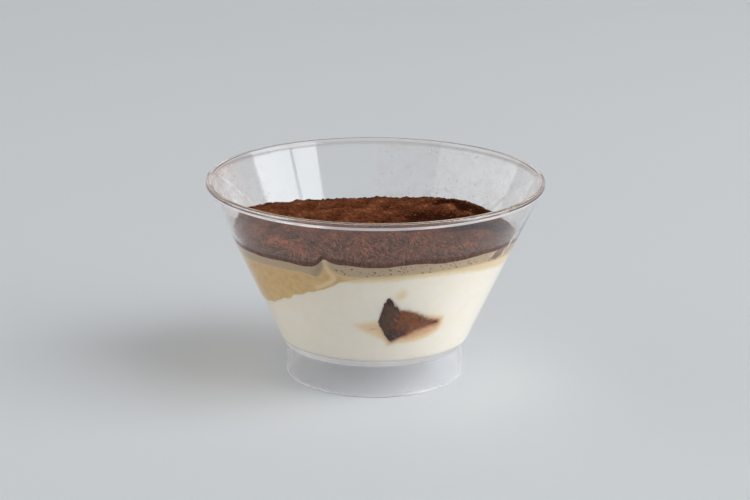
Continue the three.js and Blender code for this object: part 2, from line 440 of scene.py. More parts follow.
@dataclass(frozen=True)
class Speck:
    """One plain tone with a little variation, for grains, bubbles and smears."""

    name: str
    low: Colour
    high: Colour
    size: float = 1.0
    roughness: float = 0.9

    def material(self) -> bpy.types.Material:
        """Builds the material.

        Returns:
            The finished material.
        """
        graph = new_graph(self.name)
        tone = graph.noise(graph.place(), self.size, 2).step(0.3, 0.7)
        colour = graph.mix(self.low, self.high, tone)
        return graph.finish(graph.principled({"Base Color": colour, "Roughness": self.roughness}))


@dataclass(frozen=True)
class DustAndPaintedLightFilm:
    """A breath of powder, or a haze of painted light, letting what is behind show through, thicker where
    the mesh says.
    """

    name: str
    low: Colour
    high: Colour
    unevenness: float
    blotch_size: float = 4.0
    speck_size: float = 0.6

    def material(self) -> bpy.types.Material:
        """Builds the material.

        Returns:
            The finished material.
        """
        graph = new_graph(self.name)
        at = graph.place()
        blotches = graph.noise(graph.place((0.8, 0.8, 1.0)), self.blotch_size, 4, 0.65).step(0.3, 0.7)
        specks = graph.noise(at, self.speck_size, 3, 0.7).step(0.45, 0.75)
        uneven = (0.3 + 0.8 * blotches) * (0.7 + 0.4 * specks)
        cover = graph.attribute("cover") * (1 + (uneven - 1) * self.unevenness)
        tone = graph.noise(at, self.blotch_size, 3).step(0.35, 0.65)
        colour = graph.mix(self.low, self.high, tone)
        return graph.finish(graph.principled({"Base Color": colour, "Roughness": 1.0, "Alpha": cover}))


@dataclass(frozen=True)
class StudioFloor:
    """The plain pale surface the cup stands on."""

    colour: Colour = linear(231, 236, 240)
    cloud: Colour = linear(228, 233, 237)
    cloud_size: float = 180.0
    roughness: float = 0.7
    gloss: float = 0.2

    def material(self) -> bpy.types.Material:
        """Builds the material.

        Returns:
            The finished material.
        """
        graph = new_graph("studio_floor")
        clouds = graph.noise(graph.place(), self.cloud_size, 2)
        colour = graph.mix(self.colour, self.cloud, clouds)
        values = {"Base Color": colour, "Roughness": self.roughness, "Specular IOR Level": self.gloss}
        return graph.finish(graph.principled(values))


# Shapes


@dataclass(frozen=True)
class Boundary:
    """A surface between two layers of the filling.

    Attributes:
        level: Its height at the axis.
        rise: How much higher it is at the front than at the back, away from the wall.
        reach: How close to the wall its edge is drawn up or down: the more, the closer.
        edge: Where it meets the wall, as (azimuth, height).
        ragged: Size of the small tears of its edge.
        ragged_from: First azimuth of the torn stretch.
        ragged_to: Last azimuth of the torn stretch.
    """

    level: float
    rise: float
    reach: float
    edge: Sequence[Point]
    ragged: float = 0.0
    ragged_from: float = -180.0
    ragged_to: float = 180.0

    def at_wall(self, azimuth: Array) -> Array:
        """The height where the boundary meets the wall: a smooth closed curve through its points.

        Args:
            azimuth: Azimuths of the points.

        Returns:
            The height at each azimuth.
        """
        keys = np.array(self.edge, float)
        angle = np.concatenate([keys[-2:, 0] - 360, keys[:, 0], keys[:2, 0] + 360])
        height = np.concatenate([keys[-2:, 1], keys[:, 1], keys[:2, 1]])
        slope = np.zeros_like(height)
        slope[1:-1] = (height[2:] - height[:-2]) / (angle[2:] - angle[:-2])
        turned = (azimuth - keys[0, 0]) % 360 + keys[0, 0]
        i = np.searchsorted(angle, turned, side="right") - 1
        span = angle[i + 1] - angle[i]
        t = (turned - angle[i]) / span
        bend = span * t * (1 - t) * ((1 - t) * slope[i] - t * slope[i + 1])
        return height[i] + (height[i + 1] - height[i]) * t * t * (3 - 2 * t) + bend + self._torn(azimuth)

    def _torn(self, azimuth: Array) -> Array:
        """Small tears of the edge, within its ragged stretch.

        Args:
            azimuth: Azimuths of the points.

        Returns:
            What the tears add to the height at each azimuth.
        """
        if self.ragged == 0.0:
            return np.zeros_like(azimuth)
        fade = smooth(azimuth, self.ragged_from - 6, self.ragged_from + 6)
        fade = fade * smooth(azimuth, self.ragged_to + 6, self.ragged_to - 6)
        tears = [
            noise.fractal(Vector((angle * 0.28, self.level, 0.0)), 0.7, 2.1, 4) for angle in azimuth.ravel()
        ]
        return self.ragged * fade * np.array(tears).reshape(azimuth.shape)

    def height(self, azimuth: Array, fraction: Array) -> Array:
        """The height at an azimuth and a fraction of the way from the axis to the wall.

        Args:
            azimuth: Azimuths of the points.
            fraction: How far the points are from the axis, 1 at the wall.

        Returns:
            The height at each point.
        """
        tilt = self.rise / 2 * np.cos(np.radians(azimuth))
        wall = self.at_wall(azimuth)
        return self.level + tilt * fraction + (wall - self.level - tilt) * fraction ** self.reach


def smooth(value: Array, low: float, high: float) -> Array:
    """Rises smoothly from 0 at low to 1 at high, or falls where low is the larger."""
    t = np.clip((value - low) / (high - low), 0, 1)
    return t * t * (3 - 2 * t)


def bell(value: Array, centre: float, width: float) -> Array:
    """A smooth bump that is 1 at its centre and has faded away at about twice its width."""
    return np.exp(-(((value - centre) / width) ** 2))


def per_degree(radius: float) -> float:
    """Millimetres along the wall for one degree of azimuth, where the wall has that radius."""
    return math.radians(1) * radius


@dataclass(frozen=True)
class CupShape:
    """The sizes of the cup in millimetres."""

    rim_radius: float
    height: float
    band_height: float = 2.5
    lip_height: float = 0.95
    lip_lean: float = 42.0
    edge: float = 0.3
    tinted: float = 3.2
    floor_underside: float = 9.3
    floor_thickness: float = 1.5
    wall_base_radius: float = 25.9
    wall_top_radius: float = 46.4
    wall_thickness: float = 1.1
    corner_outer: float = 0.6
    corner_inner: float = 2.5
    foot_radius: float = 25.2
    foot_thickness: float = 1.1
    foot_draft: float = 0.12
    foot_edge: float = 0.5
    foot_fillet: float = 0.8
    joint_drop: float = 0.25
    joint_gap: float = 0.12

    @property
    def slope(self) -> float:
        """How much the wall's radius grows for each millimetre of height."""
        rise = self.height - self.band_height - self.floor_underside
        return (self.wall_top_radius - self.wall_base_radius) / rise

    @property
    def lean(self) -> float:
        """How far the wall leans out, in radians."""
        return math.atan(self.slope)

    def tangent(self, radius: float) -> float:
        """How far from the apex of the corner between floor and wall a rounding starts."""
        return radius * math.tan((math.pi / 2 - self.lean) / 2)

    @property
    def floor(self) -> float:
        """Height of the floor that the filling stands on."""
        return self.floor_underside + self.floor_thickness

    def outer(self, z: Array | float) -> Array | float:
        """Outside radius of the wall's cone at a height."""
        return self.wall_base_radius + (z - self.floor_underside) * self.slope

    def inner(self, z: Array | float) -> Array | float:
        """Inside radius of the wall's cone at a height."""
        return self.outer(z) - self.wall_thickness

    def bowl(self, z: Array, reach: float) -> Array:
        """Radius of the bowl's inside at heights, with its rounded corner, reach into the plastic.

        Args:
            z: The heights.
            reach: How far into the plastic the radius reaches.

        Returns:
            The radius at each height.
        """
        floor = self.floor - reach
        apex = self.inner(floor) + reach
        radius = self.corner_inner
        tangent = self.tangent(radius)
        corner_top = floor + tangent * math.cos(self.lean)
        below = np.clip(floor + radius - z, 0, radius)
        rounded = apex - tangent + np.sqrt(radius ** 2 - below ** 2)
        return np.where(z < corner_top, rounded, self.inner(z) + reach)

    def corner(self, apex: float, floor: float, radius: float, steps: int) -> list[Point]:
        """Points of a round corner between a level floor and the wall's cone, from the floor up."""
        centre = (apex - self.tangent(radius), floor + radius)
        return arc(centre, radius, -90, -math.degrees(self.lean), steps)


def arc(centre: Point, radius: float, start: float, stop: float, steps: int) -> list[Point]:
    """Points of a circular arc.

    Args:
        centre: Its centre.
        radius: Its radius.
        start: First angle in degrees.
        stop: Last angle in degrees.
        steps: How many chords it has.

    Returns:
        The points from start to stop.
    """
    angles = np.radians(np.linspace(start, stop, steps + 1))
    return [(centre[0] + radius * math.cos(a), centre[1] + radius * math.sin(a)) for a in angles]


def supported(profile: Sequence[Point], longest: float, near: float) -> list[Point]:
    """Adds a point close to each end of every long stretch, so that smooth shading stays true there.

    Args:
        profile: The points.
        longest: A stretch longer than this is long.
        near: How far from its ends the new points lie.

    Returns:
        The profile with the added points.
    """
    points = [profile[0]]
    for first, second in zip(profile, profile[1:]):
        length = math.dist(first, second)
        if length > longest:
            for share in (near / length, 1 - near / length):
                points.append(tuple(a + (b - a) * share for a, b in zip(first, second)))
        points.append(second)
    return points


def spun(profile: Sequence[Point], steps: int) -> bmesh.types.BMesh:
    """Spins a profile of (radius, height) points round the cup's axis.

    Args:
        profile: The points, from axis to axis for a closed body.
        steps: How many steps the full turn has.

    Returns:
        The spun mesh, welded, its faces pointing out.
    """
    mesh = bmesh.new()
    line = [mesh.verts.new((radius, 0, height)) for radius, height in profile]
    edges = [mesh.edges.new(pair) for pair in zip(line, line[1:])]
    bmesh.ops.spin(
        mesh, geom=line + edges, cent=(0, 0, 0), axis=(0, 0, 1), angle=math.tau, steps=steps, use_merge=True
    )
    bmesh.ops.remove_doubles(mesh, verts=mesh.verts, dist=1e-5)
    bmesh.ops.recalc_face_normals(mesh, faces=mesh.faces)
    return mesh


def blank(rings: Sequence[float], levels: Sequence[float], steps: int) -> bmesh.types.BMesh:
    """A spun disc of radius 1 and height 1 that other shapes are made from.

    Args:
        rings: Radii of the rings on its two flat sides, between 0 and 1.
        levels: Heights of the rows on its edge, between 0 and 1.
        steps: How many steps the full turn has.

    Returns:
        The disc.
    """
    under = [(radius, 0.0) for radius in rings]
    side = [(1.0, level) for level in levels]
    over = [(radius, 1.0) for radius in reversed(rings)]
    return spun([(0.0, 0.0), *under, (1.0, 0.0), *side, (1.0, 1.0), *over, (0.0, 1.0)], steps)


def places_of(mesh: bmesh.types.BMesh) -> Array:
    """The place of each vertex."""
    return np.array([vertex.co for vertex in mesh.verts], float)


def polar(mesh: bmesh.types.BMesh) -> tuple[Array, Array, Array]:
    """Azimuth in degrees, distance from the axis and height of each vertex.

    Args:
        mesh: The mesh.

    Returns:
        The azimuths, the distances and the heights.
    """
    places = places_of(mesh)
    azimuth = np.degrees(np.arctan2(places[:, 0], -places[:, 1]))
    return azimuth, np.hypot(places[:, 0], places[:, 1]), places[:, 2]


def join(whole: bmesh.types.BMesh, part: bmesh.types.BMesh) -> None:
    """Adds a part to a mesh and uses the part up.

    Args:
        whole: The mesh that grows.
        part: The mesh that is added and then freed.
    """
    data = bpy.data.meshes.new("part")
    part.to_mesh(data)
    part.free()
    whole.from_mesh(data)
    bpy.data.meshes.remove(data)


def move(mesh: bmesh.types.BMesh, places: Array) -> None:
    """Moves each vertex to its row of places."""
    for vertex, place in zip(mesh.verts, places):
        vertex.co = place


def around(azimuth: Array, radius: Array, height: Array) -> Array:
    """Points from azimuths in degrees, radii and heights."""
    turn = np.radians(azimuth)
    return np.stack([radius * np.sin(turn), -radius * np.cos(turn), height], axis=-1)


def level_points(x: Array, y: Array) -> Array:
    """Points from two of their places, all at height 0."""
    return np.stack([x, y, 0 * x], -1)


def fractal(points: Array, size: float, octaves: int = 4, offset: float = 0.0) -> Array:
    """Noise of about -1 to 1 at points, with patches of about size millimetres."""
    shift = Vector((offset, offset * 0.7, -offset))
    return np.array([noise.fractal(Vector(point) / size + shift, 0.8, 2.0, octaves) for point in points])


def inside(azimuth: Array, height: Array, outline: Sequence[Point], radius: float) -> Array:
    """How deep points on the wall lie inside an outline.

    Args:
        azimuth: Azimuths of the points.
        height: Heights of the points.
        outline: Corners of the closed outline, as (azimuth, height).
        radius: Radius of the wall there, which turns azimuths into millimetres.

    Returns:
        The distance to the outline in millimetres, negative outside it.
    """
    scale = (per_degree(radius), 1.0)
    points = np.stack([azimuth, height], -1) * scale
    corners = np.array(outline, float) * scale
    nearest = np.full(azimuth.shape, np.inf)
    within = np.zeros(azimuth.shape, bool)
    for start, stop in zip(corners, np.roll(corners, -1, 0)):
        nearest = np.minimum(nearest, from_line(points, start, stop))
        spans = (start[1] > points[..., 1]) != (stop[1] > points[..., 1])
        run = (points[..., 1] - start[1]) / ((stop[1] - start[1]) or 1e-9)
        within ^= spans & (points[..., 0] < start[0] + run * (stop[0] - start[0]))
    return np.where(within, nearest, -nearest)


def from_line(points: Array, start: Array, stop: Array) -> Array:
    """Distance of points from the straight line between two points.

    Args:
        points: The points.
        start: One end of the line.
        stop: Its other end.

    Returns:
        The distance of each point.
    """
    along = np.subtract(stop, start)
    share = np.clip((points - start) @ along / max(along @ along, 1e-9), 0, 1)
    return np.linalg.norm(points - start - share[..., None] * along, axis=-1)


def from_path(azimuth: Array, height: Array, path: Sequence[Point], radius: float) -> Array:
    """Distance in millimetres of points on the wall from a path of (azimuth, height) points.

    Args:
        azimuth: Azimuths of the points.
        height: Heights of the points.
        path: The path's points.
        radius: Radius of the wall there, which turns azimuths into millimetres.

    Returns:
        The distance of each point.
    """
    scale = (per_degree(radius), 1.0)
    points = np.stack([azimuth, height], -1) * scale
    stops = np.array(path, float) * scale
    return np.min([from_line(points, *pair) for pair in zip(stops, stops[1:])], axis=0)


ALL_SMOOTH = 180.0


@dataclass
class Piece:
    """A finished piece of the model, whose edges are sharp from an angle in degrees."""

    name: str
    slot: Slot
    material: bpy.types.Material
    replaces: Sequence[str] = ()
    sharp_angle: float = 50.0
    attributes: dict[str, Array] = field(default_factory=dict)

    def finish(self, mesh: bmesh.types.BMesh) -> bpy.types.Object:
        """Scales the mesh to metres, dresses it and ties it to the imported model.

        Args:
            mesh: The piece's shape in millimetres, which is used up.

        Returns:
            The finished object.
        """
        bmesh.ops.scale(mesh, vec=(MM, MM, MM), verts=mesh.verts)
        data = bpy.data.meshes.new(self.name)
        mesh.to_mesh(data)
        mesh.free()
        for name, values in self.attributes.items():
            attribute = data.attributes.new(name, "FLOAT", "POINT")
            attribute.data.foreach_set("value", np.ascontiguousarray(values, np.float32))
        data.shade_smooth()
        data.set_sharp_from_angle(angle=math.radians(self.sharp_angle))
        data.materials.append(self.material)
        made = bpy.data.objects.new(self.name, data)
        bpy.context.scene.collection.objects.link(made)
        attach(made, BODY)
        if self.replaces:
            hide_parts(*self.replaces)
        LOG.info("%s: %d vertices, %d faces", self.name, len(data.vertices), len(data.polygons))
        return made


@dataclass
class ClearCup:
    """The moulded cup: foot ring, bowl with rounded corners, cone and beaded rim."""

    shape: CupShape
    steps: int = 192

    def profile(self) -> list[Point]:
        """The cup's cross-section from the axis under the floor to the axis on the floor.

        Returns:
            The points, as (radius, height).
        """
        cup = self.shape
        lip = arc((cup.rim_radius - cup.edge, cup.height - cup.lip_height), cup.edge, -cup.lip_lean, 0, 5)
        foot_top = cup.foot_radius - cup.foot_draft
        inside_top = foot_top - cup.foot_thickness
        inside_foot = cup.foot_radius - cup.foot_thickness
        under, edge, foot_edge, fillet = cup.floor_underside, cup.edge, cup.foot_edge, cup.foot_fillet
        top_inner = cup.inner(cup.height - edge)
        outer_corner = cup.corner(cup.outer(under), under, cup.corner_outer, 12)
        points = [
            (0.0, under),
            *arc((inside_top - fillet, under - fillet), fillet, 90, 0, 5),
            *arc((inside_foot + foot_edge, foot_edge), foot_edge, 180, 270, 7),
            *arc((cup.foot_radius - foot_edge, foot_edge), foot_edge, -90, 0, 7),
            (foot_top, under - cup.joint_drop),
            *[point for point in outer_corner if point[0] > foot_top + cup.joint_gap],
            (cup.outer(cup.height - cup.tinted), cup.height - cup.tinted),
            self.lip_end(lip[0]),
            *lip,
            *arc((cup.rim_radius - edge, cup.height - edge), edge, 0, 90, 5),
            *arc((top_inner + edge, cup.height - edge), edge, 90, 180, 5),
            (cup.inner(cup.height - cup.tinted), cup.height - cup.tinted),
            *reversed(cup.corner(cup.inner(cup.floor), cup.floor, cup.corner_inner, 10)),
            (0.0, cup.floor),
        ]
        return supported(points, longest=1.0, near=0.15)

    def lip_end(self, top: Point) -> Point:
        """Where the slanting underside of the rim, which starts at top, runs out on the cone.

        Args:
            top: Where the underside starts, as (radius, height).

        Returns:
            Where it ends.
        """
        lean = math.radians(self.shape.lip_lean)
        overhang = top[0] - self.shape.outer(top[1])
        length = overhang / (math.sin(lean) - self.shape.slope * math.cos(lean))
        return top[0] - length * math.sin(lean), top[1] - length * math.cos(lean)

    def build(self) -> bpy.types.Object:
        """Models and dresses the cup.

        Returns:
            The finished object.
        """
        mesh = spun(self.profile(), self.steps)
        azimuth, _, height = polar(mesh)
        top = self.shape.height
        front = 0.3 + 0.7 * smooth(np.abs(azimuth), 140, 95)
        attributes = {"rim": front * smooth(height, top - self.shape.tinted, top - 1.0)}
        piece = Piece("clear_cup", Slot.CLEAR_PLASTIC, ClearPlastic().material(), ["cup"], 70.0, attributes)
        return piece.finish(mesh)


@dataclass
class HazeAndPaintedLight:
    """A thin white haze in the plastic: painted light in the foot ring and the corner above it, and a haze
    in the rim.

    Attributes:
        shape: The cup's sizes.
        depth: How far the shells lie within the plastic.
        foot_rows: Heights of the foot shell's rows.
        corner_rows: Heights of the corner shell's rows.
        corner_start: Heights between which the corner's haze grows.
        corner_end: Heights between which it fades, the upper one first.
        glints: Middle and width, as azimuths, of the bright stretches at the foot's lower edge.
        glint_height: How high they reach.
        rim_rows_below_top: How far below the rim's top the rim shell's rows are.
        rim_spread: How much further from the wall's cone that shell is for each millimetre up.
        rim_underside: Where it leaves the wall's outside, below the rim's top.
        rim_depth: How far it lies within the plastic.
        steps: How many steps the full turn has.
    """

    shape: CupShape
    depth: float = 0.3
    foot_rows: Sequence[float] = (0.3, 0.5, 0.8, 1.2, 1.7, 2.4, 5.0, 7.0, 9.0)
    corner_rows: Sequence[float] = tuple(np.linspace(9.4, 11.8, 12))
    corner_start: Point = (9.2, 9.5)
    corner_end: Point = (11.8, 11.0)
    glints: Sequence[Point] = ((-46, 22), (33, 14))
    glint_height: float = 0.8
    rim_rows_below_top: Sequence[float] = (1.85, 1.5, 1.1)
    rim_spread: float = 0.28
    rim_underside: float = 1.95
    rim_depth: float = 0.1
    steps: int = 192

    def cover(self, azimuth: Array, height: Array) -> Array:
        """How thick the haze is: most in the corner, at the left and along the foot's lower edge.

        Args:
            azimuth: Azimuths of the points.
            height: Heights of the points.

        Returns:
            The haze at each point, from 0 to 1.
        """
        # The corner's and the foot's haze is painted light; the glints are painted highlights
        corner = smooth(height, *self.corner_start) * smooth(height, *self.corner_end)
        corner = corner * (0.5 + 0.42 * smooth(azimuth, 40, -40))
        glints = sum(bell(azimuth, *glint) for glint in self.glints)
        foot = 0.24 + 0.7 * bell(height, 0, self.glint_height) * glints
        rim = 0.5 * smooth(np.abs(azimuth), 110, 70)
        above_foot = np.where(height > self.shape.height / 2, rim, corner)
        return np.where(height > self.shape.floor_underside, above_foot, foot)

    def build(self) -> bpy.types.Object:
        """Models and dresses the haze: thin shells within the plastic.

        Returns:
            The finished object.
        """
        cup = self.shape
        foot = [(cup.foot_radius - self.depth, z) for z in self.foot_rows]
        corner = [(cup.outer(z) - self.depth, z) for z in self.corner_rows]
        rim = []
        for below_top in self.rim_rows_below_top:
            spread = self.rim_spread * (self.rim_underside - below_top) - self.rim_depth
            rim.append((cup.outer(cup.height - below_top) + spread, cup.height - below_top))
        mesh = spun(foot, self.steps)
        join(mesh, spun(corner, self.steps))
        join(mesh, spun(rim, self.steps))
        azimuth, _, height = polar(mesh)
        attributes = {"cover": self.cover(azimuth, height)}
        finish = DustAndPaintedLightFilm("haze_and_painted_light", linear(245, 242, 246), linear(251, 249, 252), 0.1)
        piece = Piece("haze_and_painted_light", Slot.CLEAR_PLASTIC, finish.material(), (), ALL_SMOOTH, attributes)
        return piece.finish(mesh)


@dataclass
class Layer:
    """One layer of the filling, between two boundaries, out to just inside the plastic.

    Attributes:
        shape: The cup's sizes.
        name: The piece's name.
        slot: Its material slot.
        finish: Its finish.
        replaces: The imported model's node that it stands for.
        over: Its upper boundary.
        under: Its lower boundary, or None for the layer that stands on the floor.
        reach: How far it reaches into the plastic.
        air_film: How far above the floor its underside is, inside the corner.
        paleness: How pale it is at the right.
        crisp_top: How much crisper its upper border is at the left.
        crisp_base: How much crisper its lower border is at the left.
        fold_radius: Radius of the wall where the fold shows.
        fold_edge: Distances from the fold's path between which it fades.
        fold_shade_edge: Distances from the path of its shade between which that fades.
        steps: How many steps the full turn has.
        rows: How many rows its side has.
        rings: Radii of the rings on its two flat sides, from 0 to 1.
    """

    shape: CupShape
    name: str
    slot: Slot
    finish: Cream
    replaces: str
    over: Boundary
    under: Boundary | None = None
    reach: float = 0.15
    air_film: float = 0.06
    paleness: float = 0.0
    crisp_top: float = 0.0
    crisp_base: float = 0.0
    fold_radius: float = 39.5
    fold_edge: Point = (0.95, 0.3)
    fold_shade_edge: Point = (1.9, 0.1)
    steps: int = 480
    rows: int = 14
    rings: Sequence[float] = (0.4, 0.7, 0.85, 0.94, 0.98)

    def place(self, azimuth: Array, fraction: Array, level: Array) -> Array:
        """Carries points of the blank to their places.

        Args:
            azimuth: Azimuths of the blank's points.
            fraction: How far they are from its axis, from 0 to 1.
            level: How high they are in it, from 0 to 1.

        Returns:
            Their places in millimetres.
        """
        top = self.over.height(azimuth, fraction)
        if self.under is None:
            base_wall = np.full_like(azimuth, self.shape.floor - self.reach)
            base = base_wall + (self.reach + self.air_film) * smooth(fraction, 0.985, 0.945)
        else:
            base_wall = self.under.at_wall(azimuth)
            base = self.under.height(azimuth, fraction)
        wall_height = base_wall + (self.over.at_wall(azimuth) - base_wall) * level
        radius = fraction * self.shape.bowl(wall_height, self.reach)
        return around(azimuth, radius, base + (top - base) * level)

    def marks(self, azimuth: Array, height: Array, fraction: Array) -> dict[str, Array]:
        """How strongly the fold of cream, the shade beside it and the pale stretch show at each vertex.

        Args:
            azimuth: Azimuths of the points.
            height: Heights of the points.
            fraction: How far the points are from the axis, 1 at the wall.

        Returns:
            The value of each mark at each point, by the mark's name.
        """
        near_wall = smooth(fraction, 0.9, 0.99)
        fold = smooth(from_path(azimuth, height, FOLD_PATH, self.fold_radius), *self.fold_edge)
        beside = from_path(azimuth, height, FOLD_SHADE_PATH, self.fold_radius)
        shade = smooth(beside, *self.fold_shade_edge)
        pale = self.paleness * (0.6 * smooth(azimuth, -16, 0) + 0.4 * smooth(azimuth, 28, 44))
        return {"fold": fold * near_wall, "fold_shade": shade * near_wall, "pale": pale}

    def build(self) -> bpy.types.Object:
        """Models and dresses the layer.

        Returns:
            The finished object.
        """
        mesh = blank(self.rings, np.arange(1, self.rows) / self.rows, self.steps)
        azimuth, fraction, level = polar(mesh)
        places = self.place(azimuth, fraction, level)
        move(mesh, places)
        top = self.over.at_wall(azimuth)
        base = self.shape.floor if self.under is None else self.under.at_wall(azimuth)
        # At the left the borders are crisp
        crisp = smooth(azimuth, -8, -20) * smooth(azimuth, -150, -120)
        attributes = {
            "from_top": (top - places[:, 2]) * (1 + self.crisp_top * crisp),
            "from_base": (places[:, 2] - base) * (1 + self.crisp_base * crisp),
        }
        attributes |= self.marks(azimuth, places[:, 2], fraction)
        piece = Piece(self.name, self.slot, self.finish.material(), [self.replaces], attributes=attributes)
        return piece.finish(mesh)


@dataclass(frozen=True)
class Spot:
    """A mark on the filling's skin, turned by some degrees, that fades outwards from its middle."""

    azimuth: float
    height: float
    half_length: float
    half_width: float
    strength: float
    turn: float = 0.0

    def at(self, azimuth: Array, height: Array, radius: float) -> Array:
        """How strongly the mark shows at points.

        Args:
            azimuth: Azimuths of the points.
            height: Heights of the points.
            radius: Radius of the wall there, which turns azimuths into millimetres.

        Returns:
            The strength at each point.
        """
        x = (azimuth - self.azimuth) * per_degree(radius)
        y = height - self.height
        turn = math.radians(self.turn)
        along = x * math.cos(turn) + y * math.sin(turn)
        across = y * math.cos(turn) - x * math.sin(turn)
        return self.strength * bell(along, 0, self.half_length) * bell(across, 0, self.half_width)


@dataclass
class StainedCream(Layer):
    """The white cream, dented where the sponge and the shard sit, with coffee that has run into it."""

    dents: Sequence[Sequence[Point]] = ()
    dent_depth: float = 1.3
    stain: Sequence[Point] = ()
    stain_radius: float = 32.0
    spots: Sequence[Spot] = ()

    def sunk(self, azimuth: Array, height: Array) -> Array:
        """How deep points on the wall lie inside the nearest dent."""
        return np.max([inside(azimuth, height, dent, self.stain_radius) for dent in self.dents], axis=0)

    def place(self, azimuth: Array, fraction: Array, level: Array) -> Array:
        """Carries points of the blank to their places, and presses the dents into the side.

        Args:
            azimuth: Azimuths of the blank's points.
            fraction: How far they are from its axis, from 0 to 1.
            level: How high they are in it, from 0 to 1.

        Returns:
            Their places in millimetres.
        """
        places = super().place(azimuth, fraction, level)
        dent = self.dent_depth * smooth(self.sunk(azimuth, places[:, 2]), -0.25, 0.5)
        dent = dent * smooth(fraction, 0.93, 0.99)
        reach = np.hypot(places[:, 0], places[:, 1])
        places[:, :2] *= ((reach - dent) / np.maximum(reach, 1e-6))[:, None]
        return places

    def marks(self, azimuth: Array, height: Array, fraction: Array) -> dict[str, Array]:
        """The fold, and how strongly coffee stains each vertex.

        Args:
            azimuth: Azimuths of the points.
            height: Heights of the points.
            fraction: How far the points are from the axis, 1 at the wall.

        Returns:
            The value of each mark at each point, by the mark's name.
        """
        near_wall = smooth(fraction, 0.8, 0.98)
        halo = smooth(inside(azimuth, height, self.stain, self.stain_radius), -0.7, 2.8)
        halo = halo * (0.6 + 0.3 * smooth(azimuth, 0, 8))
        for spot in self.spots:
            halo = np.maximum(halo, spot.at(azimuth, height, self.stain_radius))
        soak = np.exp(np.minimum(inside(azimuth, height, self.dents[-1], self.stain_radius), 0) / 1.1)
        found = super().marks(azimuth, height, fraction)
        return found | {"halo": halo * near_wall, "soak": soak * near_wall}


@dataclass(frozen=True)
class Feature:
    """A ridge or a hollow of the powder, or a stretch of painted light and shade, from one point to
    another.
    """

    start: Point
    stop: Point
    height: float
    width: float

    def lift(self, x: Array, y: Array) -> Array:
        """The height, or the painted light and shade, that it adds at points.

        Args:
            x: Places of the points along the x axis.
            y: Places of the points along the y axis.

        Returns:
            What it adds at each point.
        """
        along = np.subtract(self.stop, self.start)
        t = ((x - self.start[0]) * along[0] + (y - self.start[1]) * along[1]) / (along @ along)
        t = np.clip(t, 0, 1)
        distance = np.hypot(x - self.start[0] - t * along[0], y - self.start[1] - t * along[1])
        return self.height * bell(distance, 0, self.width)


